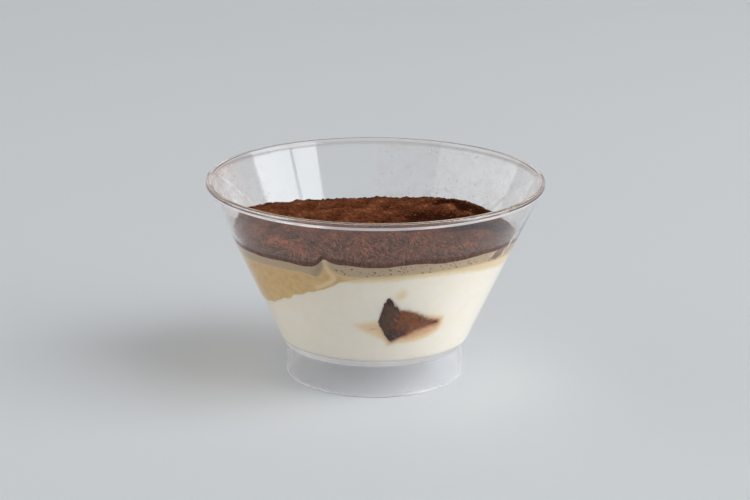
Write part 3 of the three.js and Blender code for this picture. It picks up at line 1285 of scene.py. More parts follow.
@dataclass
class CocoaTop:
    """The layer of powder, with its lumps, ridges, streaks and grit, and the marks drawn in it."""

    shape: CupShape
    under: Boundary
    features: Sequence[Feature]
    # Stretches of painted light and shade added to the powder's tone
    painted_light_and_shade: Sequence[Feature]
    thickness: float = 1.3
    reach: float = 0.15
    edge_calm: float = 0.65
    cells: int = 290
    waves: int = 14
    shortest: float = 6.5
    longest: float = 17.0
    wave_height: float = 0.55
    seed: int = 7
    streak_turn: float = -20.0
    swirl: float = -45.0
    swirl_centre: Point = (-27.0, -25.0)
    swirl_reach: float = 8.0
    combed_depth: float = 22.0
    combed_waver: float = 7.0
    combed_waver_size: float = 9.0
    wander: float = 0.8
    wander_size: float = 16.0
    edge_lump: float = 0.35
    edge_lump_size: float = 2.8
    streak_height: float = 0.16
    streak_size: float = 1.4
    streak_draw: float = 0.15
    grit_height: float = 0.15
    grit_size: float = 0.7

    def flow(self, x: Array, y: Array) -> tuple[Array, Array]:
        """Distances across and along the marks left in the powder, which curl round the hollow.

        Args:
            x: Places of the points along the x axis.
            y: Places of the points along the y axis.

        Returns:
            The distances across the marks and along them, in millimetres.
        """
        wander = self.wander * fractal(level_points(x, y), self.wander_size, 2, 4.0)
        u = x - self.swirl_centre[0]
        v = y - self.swirl_centre[1]
        bend = math.radians(self.swirl) * bell(np.hypot(u, v), 0, self.swirl_reach)
        turn = math.radians(self.streak_turn) + bend
        across = u * np.cos(turn) - v * np.sin(turn)
        along = u * np.sin(turn) + v * np.cos(turn)
        return across + wander, along

    def lumps(self, x: Array, y: Array) -> Array:
        """Soft lumps: waves in random directions, added up.

        Args:
            x: Places of the points along the x axis.
            y: Places of the points along the y axis.

        Returns:
            What the lumps add to the height at each point.
        """
        state = self.seed

        def draw() -> float:
            """The next random number from 0 to 1.

            Returns:
                The number.
            """
            nonlocal state
            state = (state * 1664525 + 1013904223) % 4294967296
            return state / 4294967296

        total = np.zeros_like(x)
        for _ in range(self.waves):
            heading = draw() * math.tau
            pitch = math.tau / (self.shortest + (self.longest - self.shortest) * draw())
            phase = draw() * math.tau
            total += np.sin((x * math.cos(heading) + y * math.sin(heading)) * pitch + phase)
        return total * self.wave_height / math.sqrt(self.waves)

    def relief(self, x: Array, y: Array, fraction: Array) -> tuple[Array, Array]:
        """Height of the powder above its underside, and its tone, which is painted light and shade.

        Args:
            x: Places of the points along the x axis.
            y: Places of the points along the y axis.
            fraction: How far the points are from the axis, 1 at the wall.

        Returns:
            The thickness in millimetres and the tone, both for each point.
        """
        broad = self.lumps(x, y) + sum(feature.lift(x, y) for feature in self.features)
        broad = broad * (1 - self.edge_calm * fraction ** 8)
        edge_lumps = self.edge_lump * fractal(level_points(x, y), self.edge_lump_size, 2, 6.0)
        broad = broad + edge_lumps * fraction ** 12
        across, along = self.flow(x, y)
        streaks = fractal(level_points(across, along * self.streak_draw), self.streak_size, 4)
        grit = fractal(level_points(x, y), self.grit_size, 3, 9.0)
        fine = self.streak_height * streaks + self.grit_height * grit
        fine = fine * (1 - 0.5 * fraction ** 12)
        # The tone is painted light and shade: lighter where the powder is high, darker where it is low
        tone = broad * 0.3 + fine + sum(mark.lift(x, y) for mark in self.painted_light_and_shade)
        return np.maximum(self.thickness + broad + fine, self.thickness / 3), tone

    def combed(self, x: Array, y: Array) -> Array:
        """How clearly thin marks are drawn in the powder: most at the front."""
        waver = self.combed_waver * fractal(level_points(x, y), self.combed_waver_size, 2, 2.0)
        return smooth(waver - y, 0, self.combed_depth)

    def surface(self, x: Array, y: Array) -> tuple[Array, Array]:
        """Places of points of a unit disc on the powder's surface, and their tone.

        Args:
            x: Places of the points along the x axis.
            y: Places of the points along the y axis.

        Returns:
            The places in millimetres and the tones.
        """
        azimuth = np.degrees(np.arctan2(x, -y))
        fraction = np.hypot(x, y)
        nominal = self.shape.inner(self.under.at_wall(azimuth) + self.thickness) + self.reach
        thick, tone = self.relief(x * nominal, y * nominal, fraction)
        height = self.under.height(azimuth, fraction) + thick
        radius = fraction * nominal
        outermost = fraction > 1 - 1e-6
        radius = np.where(outermost, self.shape.inner(height) + self.reach, radius)
        return around(azimuth, radius, height), tone

    def build(self) -> bpy.types.Object:
        """Models and dresses the powder: a disc of even squares, closed down the wall and underneath.

        Returns:
            The finished object.
        """
        mesh = bmesh.new()
        bmesh.ops.create_grid(mesh, x_segments=self.cells, y_segments=self.cells, size=1.0)
        square = places_of(mesh)
        x, y = disc_from_square(square[:, 0], square[:, 1])
        places, tone = self.surface(x, y)
        move(mesh, places)
        # The lift attribute carries the painted light and shade; the rings down the wall get none
        lift = list(tone)
        side = list(smooth(np.hypot(x, y), 0.993, 1.0))
        border = [edge for edge in mesh.edges if edge.is_boundary]
        for drop, inwards in ((0.5, 1.0), (1.0, 1.0), (1.0, 0.6)):
            grown = bmesh.ops.extrude_edge_only(mesh, edges=border)["geom"]
            ring = [part for part in grown if isinstance(part, bmesh.types.BMVert)]
            border = [part for part in grown if isinstance(part, bmesh.types.BMEdge)]
            self._sink(ring, drop, inwards)
            lift += [0.0] * len(ring)
            side += [1.0] * len(ring)
        centre = Vector((0, 0, self.under.level))
        bmesh.ops.pointmerge(mesh, verts=ring, merge_co=centre)
        bmesh.ops.recalc_face_normals(mesh, faces=mesh.faces)
        kept = len(mesh.verts)
        x, y, _ = places_of(mesh).T
        across, along = self.flow(x, y)
        attributes = {
            "lift": np.array(lift[:kept]),
            "side": np.array(side[:kept]),
            "across": across,
            "along": along,
            "combed": self.combed(x, y),
        }
        finish = CocoaPowder().material()
        return Piece("cocoa_top", Slot.COCOA, finish, ["cocoa_powder"], ALL_SMOOTH, attributes).finish(mesh)

    def _sink(self, ring: Sequence[bmesh.types.BMVert], drop: float, inwards: float) -> None:
        """Carries a ring at the wall down to the underside by a share, then inwards.

        Args:
            ring: The ring's vertices.
            drop: How far down it goes, as a share of the way to the underside.
            inwards: How far from the axis it ends up, 1 at the wall.
        """
        places = np.array([vertex.co for vertex in ring], float)
        azimuth = np.degrees(np.arctan2(places[:, 0], -places[:, 1]))
        height = places[:, 2] + (self.under.at_wall(azimuth) - places[:, 2]) * drop
        radius = (self.shape.inner(height) + self.reach) * inwards
        if inwards < 1:
            height = self.under.height(azimuth, np.full_like(azimuth, inwards))
        for vertex, place in zip(ring, around(azimuth, radius, height)):
            vertex.co = place


def disc_from_square(x: Array, y: Array) -> tuple[Array, Array]:
    """Carries a square of side 2 to a disc of radius 1, so that its rings of squares become circles.

    Args:
        x: Places of the points along the x axis.
        y: Places of the points along the y axis.

    Returns:
        Their places in the disc.
    """
    wide = np.abs(x) >= np.abs(y)
    radius = np.where(wide, x, y)
    with np.errstate(divide="ignore", invalid="ignore"):
        turn = np.where(wide, math.pi / 4 * y / x, math.pi / 2 - math.pi / 4 * x / y)
    turn = np.nan_to_num(turn)
    return radius * np.cos(turn), radius * np.sin(turn)


@dataclass
class Plug:
    """A piece sunk in the cream that shows at the wall.

    Attributes:
        shape: The cup's sizes.
        name: The piece's name.
        slot: Its material slot.
        finish: Its finish.
        replaces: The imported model's node that it stands for.
        outline: Its corners on the wall, as (azimuth, height).
        depth: How far it reaches in from the wall.
        narrowing: The share of its width that it loses on the way in.
        proud: How far it reaches into the plastic.
        rough: Depth of its pits.
        rough_size: Size of its pits.
        edge_tone: How much darker its edge is, or lighter where it is negative.
        soaked: Its soaked places.
        jag: How ragged its outline is.
        steps: How many steps its outline has.
        rows: How many rows its side has.
        rings: Radii of the rings on its two flat sides, from 0 to 1.
    """

    shape: CupShape
    name: str
    slot: Slot
    finish: Crumb
    replaces: str
    outline: Sequence[Point]
    depth: float
    narrowing: float
    proud: float
    rough: float
    rough_size: float
    edge_tone: float = 0.0
    soaked: Sequence[Spot] = ()
    jag: float = 0.09
    steps: int = 220
    rows: int = 10
    rings: Sequence[float] = tuple(np.linspace(0.04, 0.97, 26))

    def outline_radius(self, corners: Array, angle: Array) -> Array:
        """Distance from the outline's middle to its edge in each direction.

        Args:
            corners: The outline's corners, measured from its middle.
            angle: The directions in radians.

        Returns:
            The distance in each direction.
        """
        bearing = np.arctan2(corners[:, 1], corners[:, 0])
        order = np.argsort(bearing)
        bearing, ends = bearing[order], corners[order]
        bearing = np.concatenate([bearing[-1:] - math.tau, bearing, bearing[:1] + math.tau])
        ends = np.concatenate([ends[-1:], ends, ends[:1]])
        i = np.clip(np.searchsorted(bearing, angle, side="right") - 1, 0, len(bearing) - 2)
        a, b = ends[i], ends[i + 1]
        ray = np.stack([np.cos(angle), np.sin(angle)], -1)
        cross = (b - a)[:, 0] * ray[:, 1] - (b - a)[:, 1] * ray[:, 0]
        return np.abs((a[:, 0] * (b - a)[:, 1] - a[:, 1] * (b - a)[:, 0]) / cross)

    def build(self) -> bpy.types.Object:
        """Models and dresses the piece.

        Returns:
            The finished object.
        """
        mesh = blank(self.rings, np.arange(1, self.rows) / self.rows, self.steps)
        flat = places_of(mesh)
        angle = np.arctan2(flat[:, 1], flat[:, 0])
        fraction = np.hypot(flat[:, 0], flat[:, 1])
        outline = np.array(self.outline, float)
        middle = (outline.max(0) + outline.min(0)) / 2
        reach = self.shape.inner(middle[1])
        corners = (outline - middle) * (per_degree(reach), 1.0)
        edge = self.outline_radius(corners, angle)
        jags = fractal(level_points(np.cos(angle) * edge, np.sin(angle) * edge), 0.9, 4, 3.0)
        edge = edge * (1 + self.jag * jags)
        inwards = 1 - flat[:, 2]
        scale = 1 - self.narrowing * inwards
        across = fraction * edge * np.cos(angle) * scale
        up = fraction * edge * np.sin(angle) * scale
        bumps = fractal(np.stack([across, up, inwards * self.depth], -1), self.rough_size, 4, 5.0)
        sink = self.rough * np.clip(bumps + 0.15, -0.1, 1.0)
        height = middle[1] + up
        azimuth = middle[0] + np.degrees(across / reach)
        radius = self.shape.inner(height) + self.proud - inwards * self.depth - sink
        move(mesh, around(azimuth, radius, height))
        # Darker towards its edge, then the soaked places, whichever is darker
        soaked = self.edge_tone * smooth(fraction, 0.7, 1.0)
        for spot in self.soaked:
            soaked = np.maximum(soaked, spot.at(azimuth, height, reach))
        # depth darkens the crumb where its pits sink deeper: painted shade in the pits
        attributes = {"depth": np.clip(bumps, 0, 1) * 0.6, "soaked": soaked}
        piece = Piece(self.name, self.slot, self.finish.material(), [self.replaces], 60.0, attributes)
        return piece.finish(mesh)


@dataclass
class Scatter:
    """Many small grains in one mesh, made in batches, because a large mesh takes new ones slowly."""

    name: str
    slot: Slot
    finish: Speck
    squash: float = 1.0
    divisions: int = 1
    batch: int = 100

    def build(self, places: Array, sizes: Array, normals: Array, seed: int) -> bpy.types.Object:
        """Models the grains as one mesh.

        Args:
            places: Where the grains are, in millimetres.
            sizes: Their diameters.
            normals: The direction in which each is squashed.
            seed: Seed of their random turns and shapes.

        Returns:
            The finished object.
        """
        random = np.random.default_rng(seed)
        whole = bmesh.new()
        batch = bmesh.new()
        for number, (place, size, normal) in enumerate(zip(places, sizes, normals), 1):
            uneven = Matrix.Diagonal(random.uniform(0.7, 1.3, 3)).to_4x4()
            turn = Euler(random.uniform(0, math.tau, 3)).to_matrix().to_4x4()
            squash = Matrix.Scale(self.squash, 4, Vector(normal))
            matrix = Matrix.Translation(place) @ squash @ turn @ uneven
            bmesh.ops.create_icosphere(
                batch, subdivisions=self.divisions, radius=float(size) / 2, matrix=matrix
            )
            if number % self.batch == 0 or number == len(places):
                join(whole, batch)
                batch = bmesh.new()
        return Piece(self.name, self.slot, self.finish.material(), (), ALL_SMOOTH).finish(whole)


@dataclass
class Smear:
    """A thin streak of cream or powder on the inside of the wall, over the filling's skin.

    Attributes:
        path: Its middle line, as (azimuth, height).
        width: Its width at the start.
        thickness: Its thickness.
        lift: How far its outer side reaches into the plastic.
        taper: The share of its width that it loses on the way.
    """

    path: Sequence[Point]
    width: float
    thickness: float = 0.1
    lift: float = 0.28
    taper: float = 0.6

    def add_to(self, mesh: bmesh.types.BMesh, shape: CupShape) -> None:
        """Adds the streak to a mesh: a spun disc, drawn out along the path.

        Args:
            mesh: The mesh it joins.
            shape: The cup on whose wall it lies.
        """
        disc = blank((0.35, 0.7, 0.93), (0.5,), 40)
        flat = places_of(disc)
        stops = np.array(self.path, float)
        degree = per_degree(float(shape.inner(stops[:, 1].mean())))
        steps = np.linalg.norm(np.diff(stops * (degree, 1.0), axis=0), axis=1)
        run = np.concatenate([[0.0], np.cumsum(steps)])

        def along(distance: Array) -> Array:
            """Azimuths and heights at distances along the path."""
            return np.stack([np.interp(distance, run, stops[:, i]) for i in (0, 1)], -1)

        at = (flat[:, 0] + 1) / 2 * run[-1]
        azimuth, height = along(at).T
        ahead = (along(at + 0.1) - along(at - 0.1)) * (degree, 1.0)
        ahead /= np.maximum(np.linalg.norm(ahead, axis=1), 1e-9)[:, None]
        wave = fractal(level_points(at, flat[:, 1]), 1.1, 3, self.width)
        across = flat[:, 1] * self.width / 2 * (1 - self.taper * at / run[-1]) * (1 + 0.5 * wave)
        azimuth = azimuth - ahead[:, 1] * across / degree
        height = height + ahead[:, 0] * across
        rounding = 1 - np.hypot(flat[:, 0], flat[:, 1]) ** 3
        depth = self.thickness * (1 - flat[:, 2]) * rounding
        move(disc, around(azimuth, shape.inner(height) + self.lift - depth, height))
        bmesh.ops.recalc_face_normals(disc, faces=disc.faces)
        join(mesh, disc)


@dataclass
class DustedWall:
    """Powder on the inside of the wall above the filling, as a thin film and as grains.

    Attributes:
        shape: The cup's sizes.
        cocoa: The layer of powder, which the dust starts from.
        clearance: Gap between the film and the wall.
        film_top: How far below the rim's top the film ends.
        film_overlap: How far below the powder's edge the film starts.
        grains_top: How far below the rim's top the grains end.
        grain_clearance: Gap between the wall and the grains' middles.
        tries: How many places are drawn for each grain that is kept.
        steps: How many steps the film's full turn has.
        rows: How many rows the film has.
    """

    shape: CupShape
    cocoa: CocoaTop
    clearance: float = 0.05
    film_top: float = 1.0
    film_overlap: float = 0.4
    grains_top: float = 1.2
    grain_clearance: float = 0.06
    tries: int = 6
    steps: int = 240
    rows: int = 24

    def cover(self, azimuth: Array, share: Array) -> Array:
        """How much powder lies on the wall, from its foot at the filling to the rim.

        Args:
            azimuth: Azimuths of the points.
            share: How far up the wall the points are, from 0 to 1.

        Returns:
            The cover at each point, from 0 to 1.
        """
        left = bell(azimuth, -96, 30)
        right = bell(azimuth, 112, 44)
        back = bell(azimuth, 180, 36)
        clean = 1 - smooth(azimuth, -185, -165) * smooth(azimuth, -125, -142)
        low = np.exp(-share / 0.16) * smooth(np.abs(azimuth), 50, 90)
        rim = smooth(share, 0.84, 0.97)
        front = smooth(np.abs(azimuth), 75, 50)
        cover = 0.4 * left + 0.17 * right + 0.1 * back + 0.2 * low + rim * (0.05 * front + 0.25 * left)
        return np.clip(0.01 + cover * clean, 0, 0.85)

    def filling_top(self, azimuth: Array) -> Array:
        """Nominal height at which the powder meets the wall."""
        return self.cocoa.under.at_wall(azimuth) + self.cocoa.thickness

    def build_film(self) -> bpy.types.Object:
        """Models and dresses the film: a thin shell just inside the wall.

        Returns:
            The finished object.
        """
        mesh = spun([(radius, 0.0) for radius in np.linspace(1.0, 2.0, self.rows)], self.steps)
        azimuth, distance, _ = polar(mesh)
        share = distance - 1
        foot = self.filling_top(azimuth) - self.film_overlap
        top = self.shape.height - self.film_top
        height = foot + (top - foot) * share
        move(mesh, around(azimuth, self.shape.inner(height) - self.clearance, height))
        bmesh.ops.recalc_face_normals(mesh, faces=mesh.faces)
        bmesh.ops.reverse_faces(mesh, faces=mesh.faces)
        attributes = {"cover": self.cover(azimuth, share)}
        finish = DustAndPaintedLightFilm("wall_dust", linear(198, 172, 160), linear(230, 216, 206), 1.0)
        piece = Piece("wall_dust", Slot.COCOA, finish.material(), (), ALL_SMOOTH, attributes)
        return piece.finish(mesh)

    def build_grains(self, count: int, seed: int) -> bpy.types.Object:
        """Scatters grains over the wall, closest together where the film is thickest.

        Args:
            count: How many grains the wall gets, apart from those on the rim.
            seed: Seed of their random places, sizes and turns.

        Returns:
            The finished object.
        """
        random = np.random.default_rng(seed)
        tries = count * self.tries
        azimuth = random.uniform(-180, 180, tries)
        share = random.uniform(0, 1, tries) ** 1.3
        kept = random.uniform(0, 1, tries) < self.cover(azimuth, share) * 1.1
        azimuth, share = azimuth[kept][:count], share[kept][:count]
        foot = self.filling_top(azimuth)
        height = foot + (self.shape.height - self.grains_top - foot) * share
        sizes = 0.1 + 0.2 * random.uniform(0, 1, len(height)) ** 3
        for start, stop, extra in RIM_DUST:
            azimuth = np.append(azimuth, random.uniform(start, stop, extra))
            height = np.append(height, self.shape.height - random.uniform(0.15, 0.9, extra))
            sizes = np.append(sizes, random.uniform(0.2, 0.42, extra))
        places = around(azimuth, self.shape.inner(height) - self.grain_clearance, height)
        normals = around(azimuth, np.ones_like(azimuth), np.zeros_like(azimuth))
        finish = Speck("dust_grain", linear(104, 80, 70), linear(150, 124, 112))
        return Scatter("wall_grains", Slot.COCOA, finish, squash=0.6).build(places, sizes, normals, seed)


@dataclass(frozen=True)
class Panel:
    """An upright soft light, given in degrees and metres by what it fills as seen from the cup."""

    name: str
    azimuth_from: float
    azimuth_to: float
    radiance: float
    colour: tuple[float, float, float]
    bottom: float = 0.0
    top: float = 44.0
    distance: float = 2.4

    def build(self) -> None:
        """Builds the light, turned to the cup."""
        turn = math.radians((self.azimuth_from + self.azimuth_to) / 2)
        wide = math.radians(self.azimuth_to - self.azimuth_from)
        low = self.distance * math.tan(math.radians(self.bottom))
        tall = self.distance * math.tan(math.radians(self.top)) - low
        lamp = bpy.data.lights.new(self.name, "AREA")
        lamp.shape = "RECTANGLE"
        lamp.size = 2 * self.distance * math.tan(wide / 2)
        lamp.size_y = tall
        lamp.energy = self.radiance * math.pi * lamp.size * lamp.size_y
        lamp.color = self.colour
        toward = Vector((math.sin(turn), -math.cos(turn), 0))
        made = bpy.data.objects.new(self.name, lamp)
        made.location = toward * self.distance + Vector((0, 0, low + tall / 2))
        made.rotation_euler = (-toward).to_track_quat("-Z", "Y").to_euler()
        bpy.context.scene.collection.objects.link(made)


@dataclass
class Studio:
    """The floor, the lights and the camera."""

    camera_place: tuple[float, float, float] = (0.0, -593.65, 213.82)
    aim: tuple[float, float, float] = (0.0, 0.0, 35.26)
    roll: float = 0.38
    lens: float = 105.1
    sensor: float = 36.0
    floor_half: float = 4.0
    panels: Sequence[Panel] = (
        Panel("window_front", 48.0, 67.6, 3.25, (0.96, 0.98, 1.0), bottom=6.0, top=58.0, distance=1.8),
        Panel("window_back", 70.0, 103.0, 3.25, (0.96, 0.98, 1.0), bottom=6.0, top=58.0, distance=1.8),
        Panel("left_wall", -124.0, -52.0, 1.0, (1.0, 0.97, 0.94)),
        Panel("front_wall", -52.0, 48.0, 0.22, (1.0, 0.98, 0.95)),
    )
    horizon: Colour = linear(244, 242, 239)
    ceiling: Colour = linear(127, 126, 126)
    ceiling_sine: float = 0.6
    bounces: int = 24

    def build(self) -> None:
        """Builds the floor, the world, the lights and the camera."""
        self._floor()
        self._world()
        for panel in self.panels:
            panel.build()
        self._camera()
        cycles = bpy.context.scene.cycles
        cycles.max_bounces = cycles.glossy_bounces = cycles.transmission_bounces = self.bounces
        cycles.transparent_max_bounces = self.bounces

    def _floor(self) -> None:
        """A wide level plane under the cup."""
        mesh = bmesh.new()
        bmesh.ops.create_grid(mesh, x_segments=8, y_segments=8, size=self.floor_half)
        data = bpy.data.meshes.new("studio_floor")
        mesh.to_mesh(data)
        mesh.free()
        data.materials.append(StudioFloor().material())
        floor = bpy.data.objects.new("studio_floor", data)
        bpy.context.scene.collection.objects.link(floor)

    def _world(self) -> None:
        """Pale light from all round, dimmer overhead."""
        world = bpy.data.worlds.new("studio_world")
        graph = Graph(world)
        direction = graph.value("ShaderNodeTexCoord", output="Generated")
        height = graph.value("ShaderNodeSeparateXYZ", None, {0: direction}, "Z")
        colour = graph.mix(self.horizon, self.ceiling, height.step(0.0, self.ceiling_sine))
        shader = graph.value("ShaderNodeBackground", None, {"Color": colour})
        graph.node("ShaderNodeOutputWorld", None, {"Surface": shader})
        bpy.context.scene.world = world

    def _camera(self) -> None:
        """The camera at the angle of the photograph."""
        data = bpy.data.cameras.new("camera")
        data.lens = self.lens
        data.sensor_width = self.sensor
        data.clip_start = 0.01
        made = bpy.data.objects.new("camera", data)
        place = Vector(self.camera_place) * MM
        look = Vector(self.aim) * MM - place
        turn = look.to_track_quat("-Z", "Y").to_matrix() @ Matrix.Rotation(math.radians(self.roll), 3, "Z")
        made.matrix_world = Matrix.Translation(place) @ turn.to_4x4()
        bpy.context.scene.collection.objects.link(made)
        bpy.context.scene.camera = made


# Borders of the layers: azimuth and height where each meets the wall
CREAM_TOP = Boundary(level=37.6, rise=1.6, reach=4, edge=(
    (-158, 36.2), (-128, 34.4), (-108, 29.6), (-88, 25.6), (-66, 25.0), (-56, 26.3), (-49, 27.8),
    (-46, 28.9), (-41.5, 29.6), (-37.7, 31.2), (-34, 31.8), (-31, 32.7), (-26, 33.6), (-21, 34.9),
    (-17, 36.2), (-14, 37.5), (-4, 38.7), (6, 38.9), (16, 39.6), (32, 39.5), (50, 38.3), (68, 36.8),
    (110, 36.2), (150, 36),
), ragged=0.3, ragged_from=-95, ragged_to=-24)
COFFEE_TOP = Boundary(level=39.2, rise=1.8, reach=6, edge=(
    (-160, 37.2), (-120, 37.2), (-80, 37.1), (-66, 37.7), (-50, 38.8), (-40, 39.0), (-31, 39.4),
    (-26, 38.8), (-22.5, 38.9), (-19.3, 42.2), (-17, 41.4), (-14, 40), (-9, 39.5), (0, 39.7), (10, 40.1),
    (25, 40.3), (41, 40.3), (56, 39.7), (72, 38.9), (105, 37.7), (155, 37.3),
), ragged=0.15)
COCOA_UNDERSIDE = Boundary(level=41.3, rise=2.6, reach=5, edge=(
    (-162, 38.7), (-140, 39.5), (-125, 41), (-110, 41.6), (-80, 41.2), (-66, 40.9), (-56, 41.2),
    (-47, 41.3), (-36, 41.8), (-30, 41.5), (-27, 41.5), (-24.9, 41.7), (-22.2, 42.6), (-20.3, 43.8),
    (-19.2, 44.5), (-17.8, 44.2), (-16.5, 43.6), (-14.2, 43.2), (-11, 43.1), (-4, 42.7), (4, 42.7),
    (15, 43.4), (28, 42.8), (36, 42.9), (46, 43.1), (56, 42.9), (62, 42.8), (70, 42.2), (85, 40.9),
    (105, 39.7), (120, 39.7), (140, 40.4), (156, 39.6), (174, 38.7),
), ragged=0.12)
# Ridges and hollows of the powder: two ends as (x, y), height and width
COCOA_FEATURES = (
    Feature((-30.5, -13), (-24.5, -22), 0.8, 1.9),
    Feature((-24.5, -22), (-17, -36), 0.9, 1.9),
    Feature((-31, -22), (-24, -31), -0.8, 2.2),
    Feature((-6.7, 19.5), (1.7, 8.4), 0.5, 1.8),
    Feature((1.7, 8.4), (7.4, 5.3), 0.45, 1.5),
    Feature((-5.4, 8.4), (-4.6, 8.2), -0.8, 1.4),
    Feature((-1.2, 4.6), (0.5, 4.9), -1.0, 1.5),
    Feature((3.5, 9.5), (13, 7), -0.4, 1.5),
    Feature((19.3, 22.6), (29.1, 10.5), 0.6, 1.8),
    Feature((14.5, 18.9), (22.5, 13.8), -0.5, 2.0),
    Feature((20, 29.5), (32.5, 15.5), 1.2, 2.2),
    Feature((-32.5, 12.4), (-24, 4.3), -0.5, 2.0),
    Feature((20, -16), (27, -22), 0.5, 4),
)
# Painted shade on the back-right bank, the right and two hollows; painted light along two ridges
COCOA_PAINTED_LIGHT_AND_SHADE = (
    Feature((19.4, 27.2), (23.4, 25.1), -0.8, 3.0),
    Feature((23.4, 25.1), (27.7, 21.4), -0.8, 3.0),
    Feature((27.7, 21.4), (32.4, 14.6), -0.9, 3.4),
    Feature((19.3, 22.6), (29.1, 10.5), 0.25, 0.9),
    Feature((16.0, 8.0), (30.0, 2.0), -0.9, 9.0),
    Feature((-1.2, 4.6), (0.5, 4.9), -0.4, 1.2),
    Feature((-5.4, 8.4), (-4.6, 8.2), -0.4, 1.2),
    Feature((-30.5, -13), (-24.5, -22), 0.25, 1.2),
    Feature((-24.5, -22), (-17, -36), 0.25, 1.2),
)
# Outlines and paths on the wall: azimuth and height of each corner
SHARD_OUTLINE = (
    (6.1, 32.7), (7.2, 32.1), (8.1, 31.3), (8.7, 30.2), (10.1, 29.6), (10.9, 28.6), (11.8, 27.5),
    (12.1, 26.0), (11.8, 24.9), (11.2, 23.5), (9.6, 22.1), (9.1, 20.7), (9.0, 19.3), (8.6, 18.2),
    (7.2, 18.6), (6.5, 19.6), (5.1, 20.5), (4.4, 21.5), (3.5, 22.7), (2.4, 23.7), (1.9, 25.4),
    (2.9, 27.0), (3.4, 28.6), (4.0, 30.0), (4.1, 30.9), (5.1, 31.3), (5.4, 32.3),
)
SPONGE_OUTLINE = (
    (9.8, 27.3), (11.7, 27.9), (13.0, 28.0), (15.1, 27.7), (18.4, 27.0), (21.2, 26.0), (23.7, 25.3),
    (26.1, 24.3), (29.1, 23.8), (32.4, 23.4), (32.0, 23.0), (29.7, 22.9), (27.0, 22.6), (24.4, 22.2),
    (20.7, 21.6), (18.3, 20.9), (15.8, 20.1), (12.8, 19.6), (8.8, 18.2), (8.1, 20.2), (8.1, 25.0),
)
STAIN_OUTLINE = (
    (-6.5, 25.0), (-13.0, 24.4), (-8.0, 21.5), (-3.7, 20.3), (1.8, 18.9), (4.9, 17.6), (7.8, 16.6),
    (12.4, 17.0), (17.6, 16.9), (23.7, 17.3), (29.9, 18.2), (35.4, 19.7), (37.2, 22.5), (36.2, 25.2),
    (24, 26.8), (16.4, 28.4), (11.5, 29.3), (2, 26),
)
FOLD_PATH = (
    (-19.8, 44.9), (-18.9, 43.4), (-18.7, 41.9), (-18.1, 40.6), (-16.7, 39.3), (-16.3, 38.4),
    (-18.0, 37.4), (-21.2, 36.0), (-24.7, 35.0),
)
FOLD_SHADE_PATH = ((-21.0, 43.0), (-22.1, 41.1), (-24.1, 39.6))
# Lesser coffee marks on the white cream, and soaked places of the sponge and the shard
COFFEE_SPOTS = (
    Spot(11.4, 33.5, 2.0, 1.5, 0.42, 62.0),
    Spot(-1.0, 22.3, 2.4, 0.36, 0.95, 12.0),
    Spot(9.8, 29.8, 1.5, 0.6, 0.35, -60.0),
    Spot(7.2, 17.4, 0.9, 0.8, 0.45),
    Spot(30.5, 20.8, 2.8, 0.9, 0.75, 12.0),
    Spot(33.2, 36.4, 1.1, 0.12, 0.25, 62.0),
    Spot(35.5, 16.8, 1.3, 0.14, 0.4, 25.0),
    Spot(36.8, 17.5, 0.9, 0.1, 0.3, 40.0),
)
SPONGE_SOAKED = (
    Spot(10.2, 19.4, 3.0, 3.0, 0.75),
    Spot(13.5, 20.2, 1.6, 1.6, 0.5),
    Spot(31.5, 23.2, 1.6, 1.6, 0.4),
)
SHARD_SOAKED = (
    Spot(6.2, 31.6, 1.6, 1.6, 0.35),
    Spot(8.4, 19.4, 1.8, 1.8, 0.5),
)
# Powder on the rim: first and last azimuth, and how many grains
RIM_DUST = ((-80, -55, 90), (50, 70, 80))
# Streaks on the wall, over the filling's skin
CREAM_SMEARS = (
    Smear(((61.3, 39.9), (60.9, 41.4), (61.2, 42.9)), 1.6, taper=0.5),
    Smear(((51.4, 41.0), (52.1, 41.8), (53.2, 42.7)), 1.2),
    Smear(((63.0, 41.6), (63.9, 43.2), (64.8, 44.6), (63.6, 46.8)), 2.3, taper=0.7),
)
COCOA_SMEARS = (
    Smear(((51.4, 41.1), (55.5, 41.4), (59.6, 41.8), (62.8, 42.3)), 3.0, taper=0.2),
    Smear(((62.5, 40.6), (65.5, 41.0), (69.0, 41.4), (74.5, 41.0)), 0.5, taper=0.4),
)
# How many of each small thing there are, and the seeds of their random places
BUBBLE_COUNT, BUBBLE_SEED = 110, 5
COCOA_SEED = 11
GRAIN_COUNT, GRAIN_SEED = 2000, 12
CLUMP_COUNT, CLUMP_SEED = 700, 13
WALL_GRAIN_COUNT, WALL_GRAIN_SEED = 1300, 21


def build_creams(cup: CupShape) -> None:
    """Builds the three layers of cream, from the floor up.

    Args:
        cup: The cup's sizes.
    """
    white = Cream(
        "white_cream", body=linear(250, 244, 233), mottle=linear(248, 239, 223),
        above=linear(242, 224, 188), below=linear(250, 244, 233), blur_above=1.6, blur_below=0.01,
        fold=linear(252, 246, 234),
    )
    StainedCream(
        cup, "white_cream", Slot.WHITE_CREAM, white, "mascarpone_cream", CREAM_TOP, rows=60,
        dents=(SHARD_OUTLINE, SPONGE_OUTLINE), stain=STAIN_OUTLINE, spots=COFFEE_SPOTS, crisp_top=3.0,
    ).build()
    tan = Cream(
        "tan_cream", body=linear(228, 198, 144), mottle=linear(208, 174, 114),
        above=linear(223, 201, 163), below=linear(238, 217, 177), blur_above=0.9, blur_below=0.6,
        mottle_size=1.7, mottle_share=0.6, fold=linear(242, 218, 178),
    )
    Layer(
        cup, "tan_cream", Slot.TAN_CREAM, tan, "coffee_cream", COFFEE_TOP, CREAM_TOP, rows=20,
        paleness=1.0, crisp_base=3.0,
    ).build()
    beige = Cream(
        "beige_cream", body=linear(202, 180, 153), mottle=linear(190, 167, 139),
        above=linear(182, 157, 131), below=linear(208, 183, 144), blur_above=0.3, blur_below=1.1,
        mottle_size=1.6, fold=linear(234, 208, 172),
    )
    Layer(cup, "beige_cream", Slot.BEIGE_CREAM, beige, "top_cream", COCOA_UNDERSIDE, COFFEE_TOP).build()


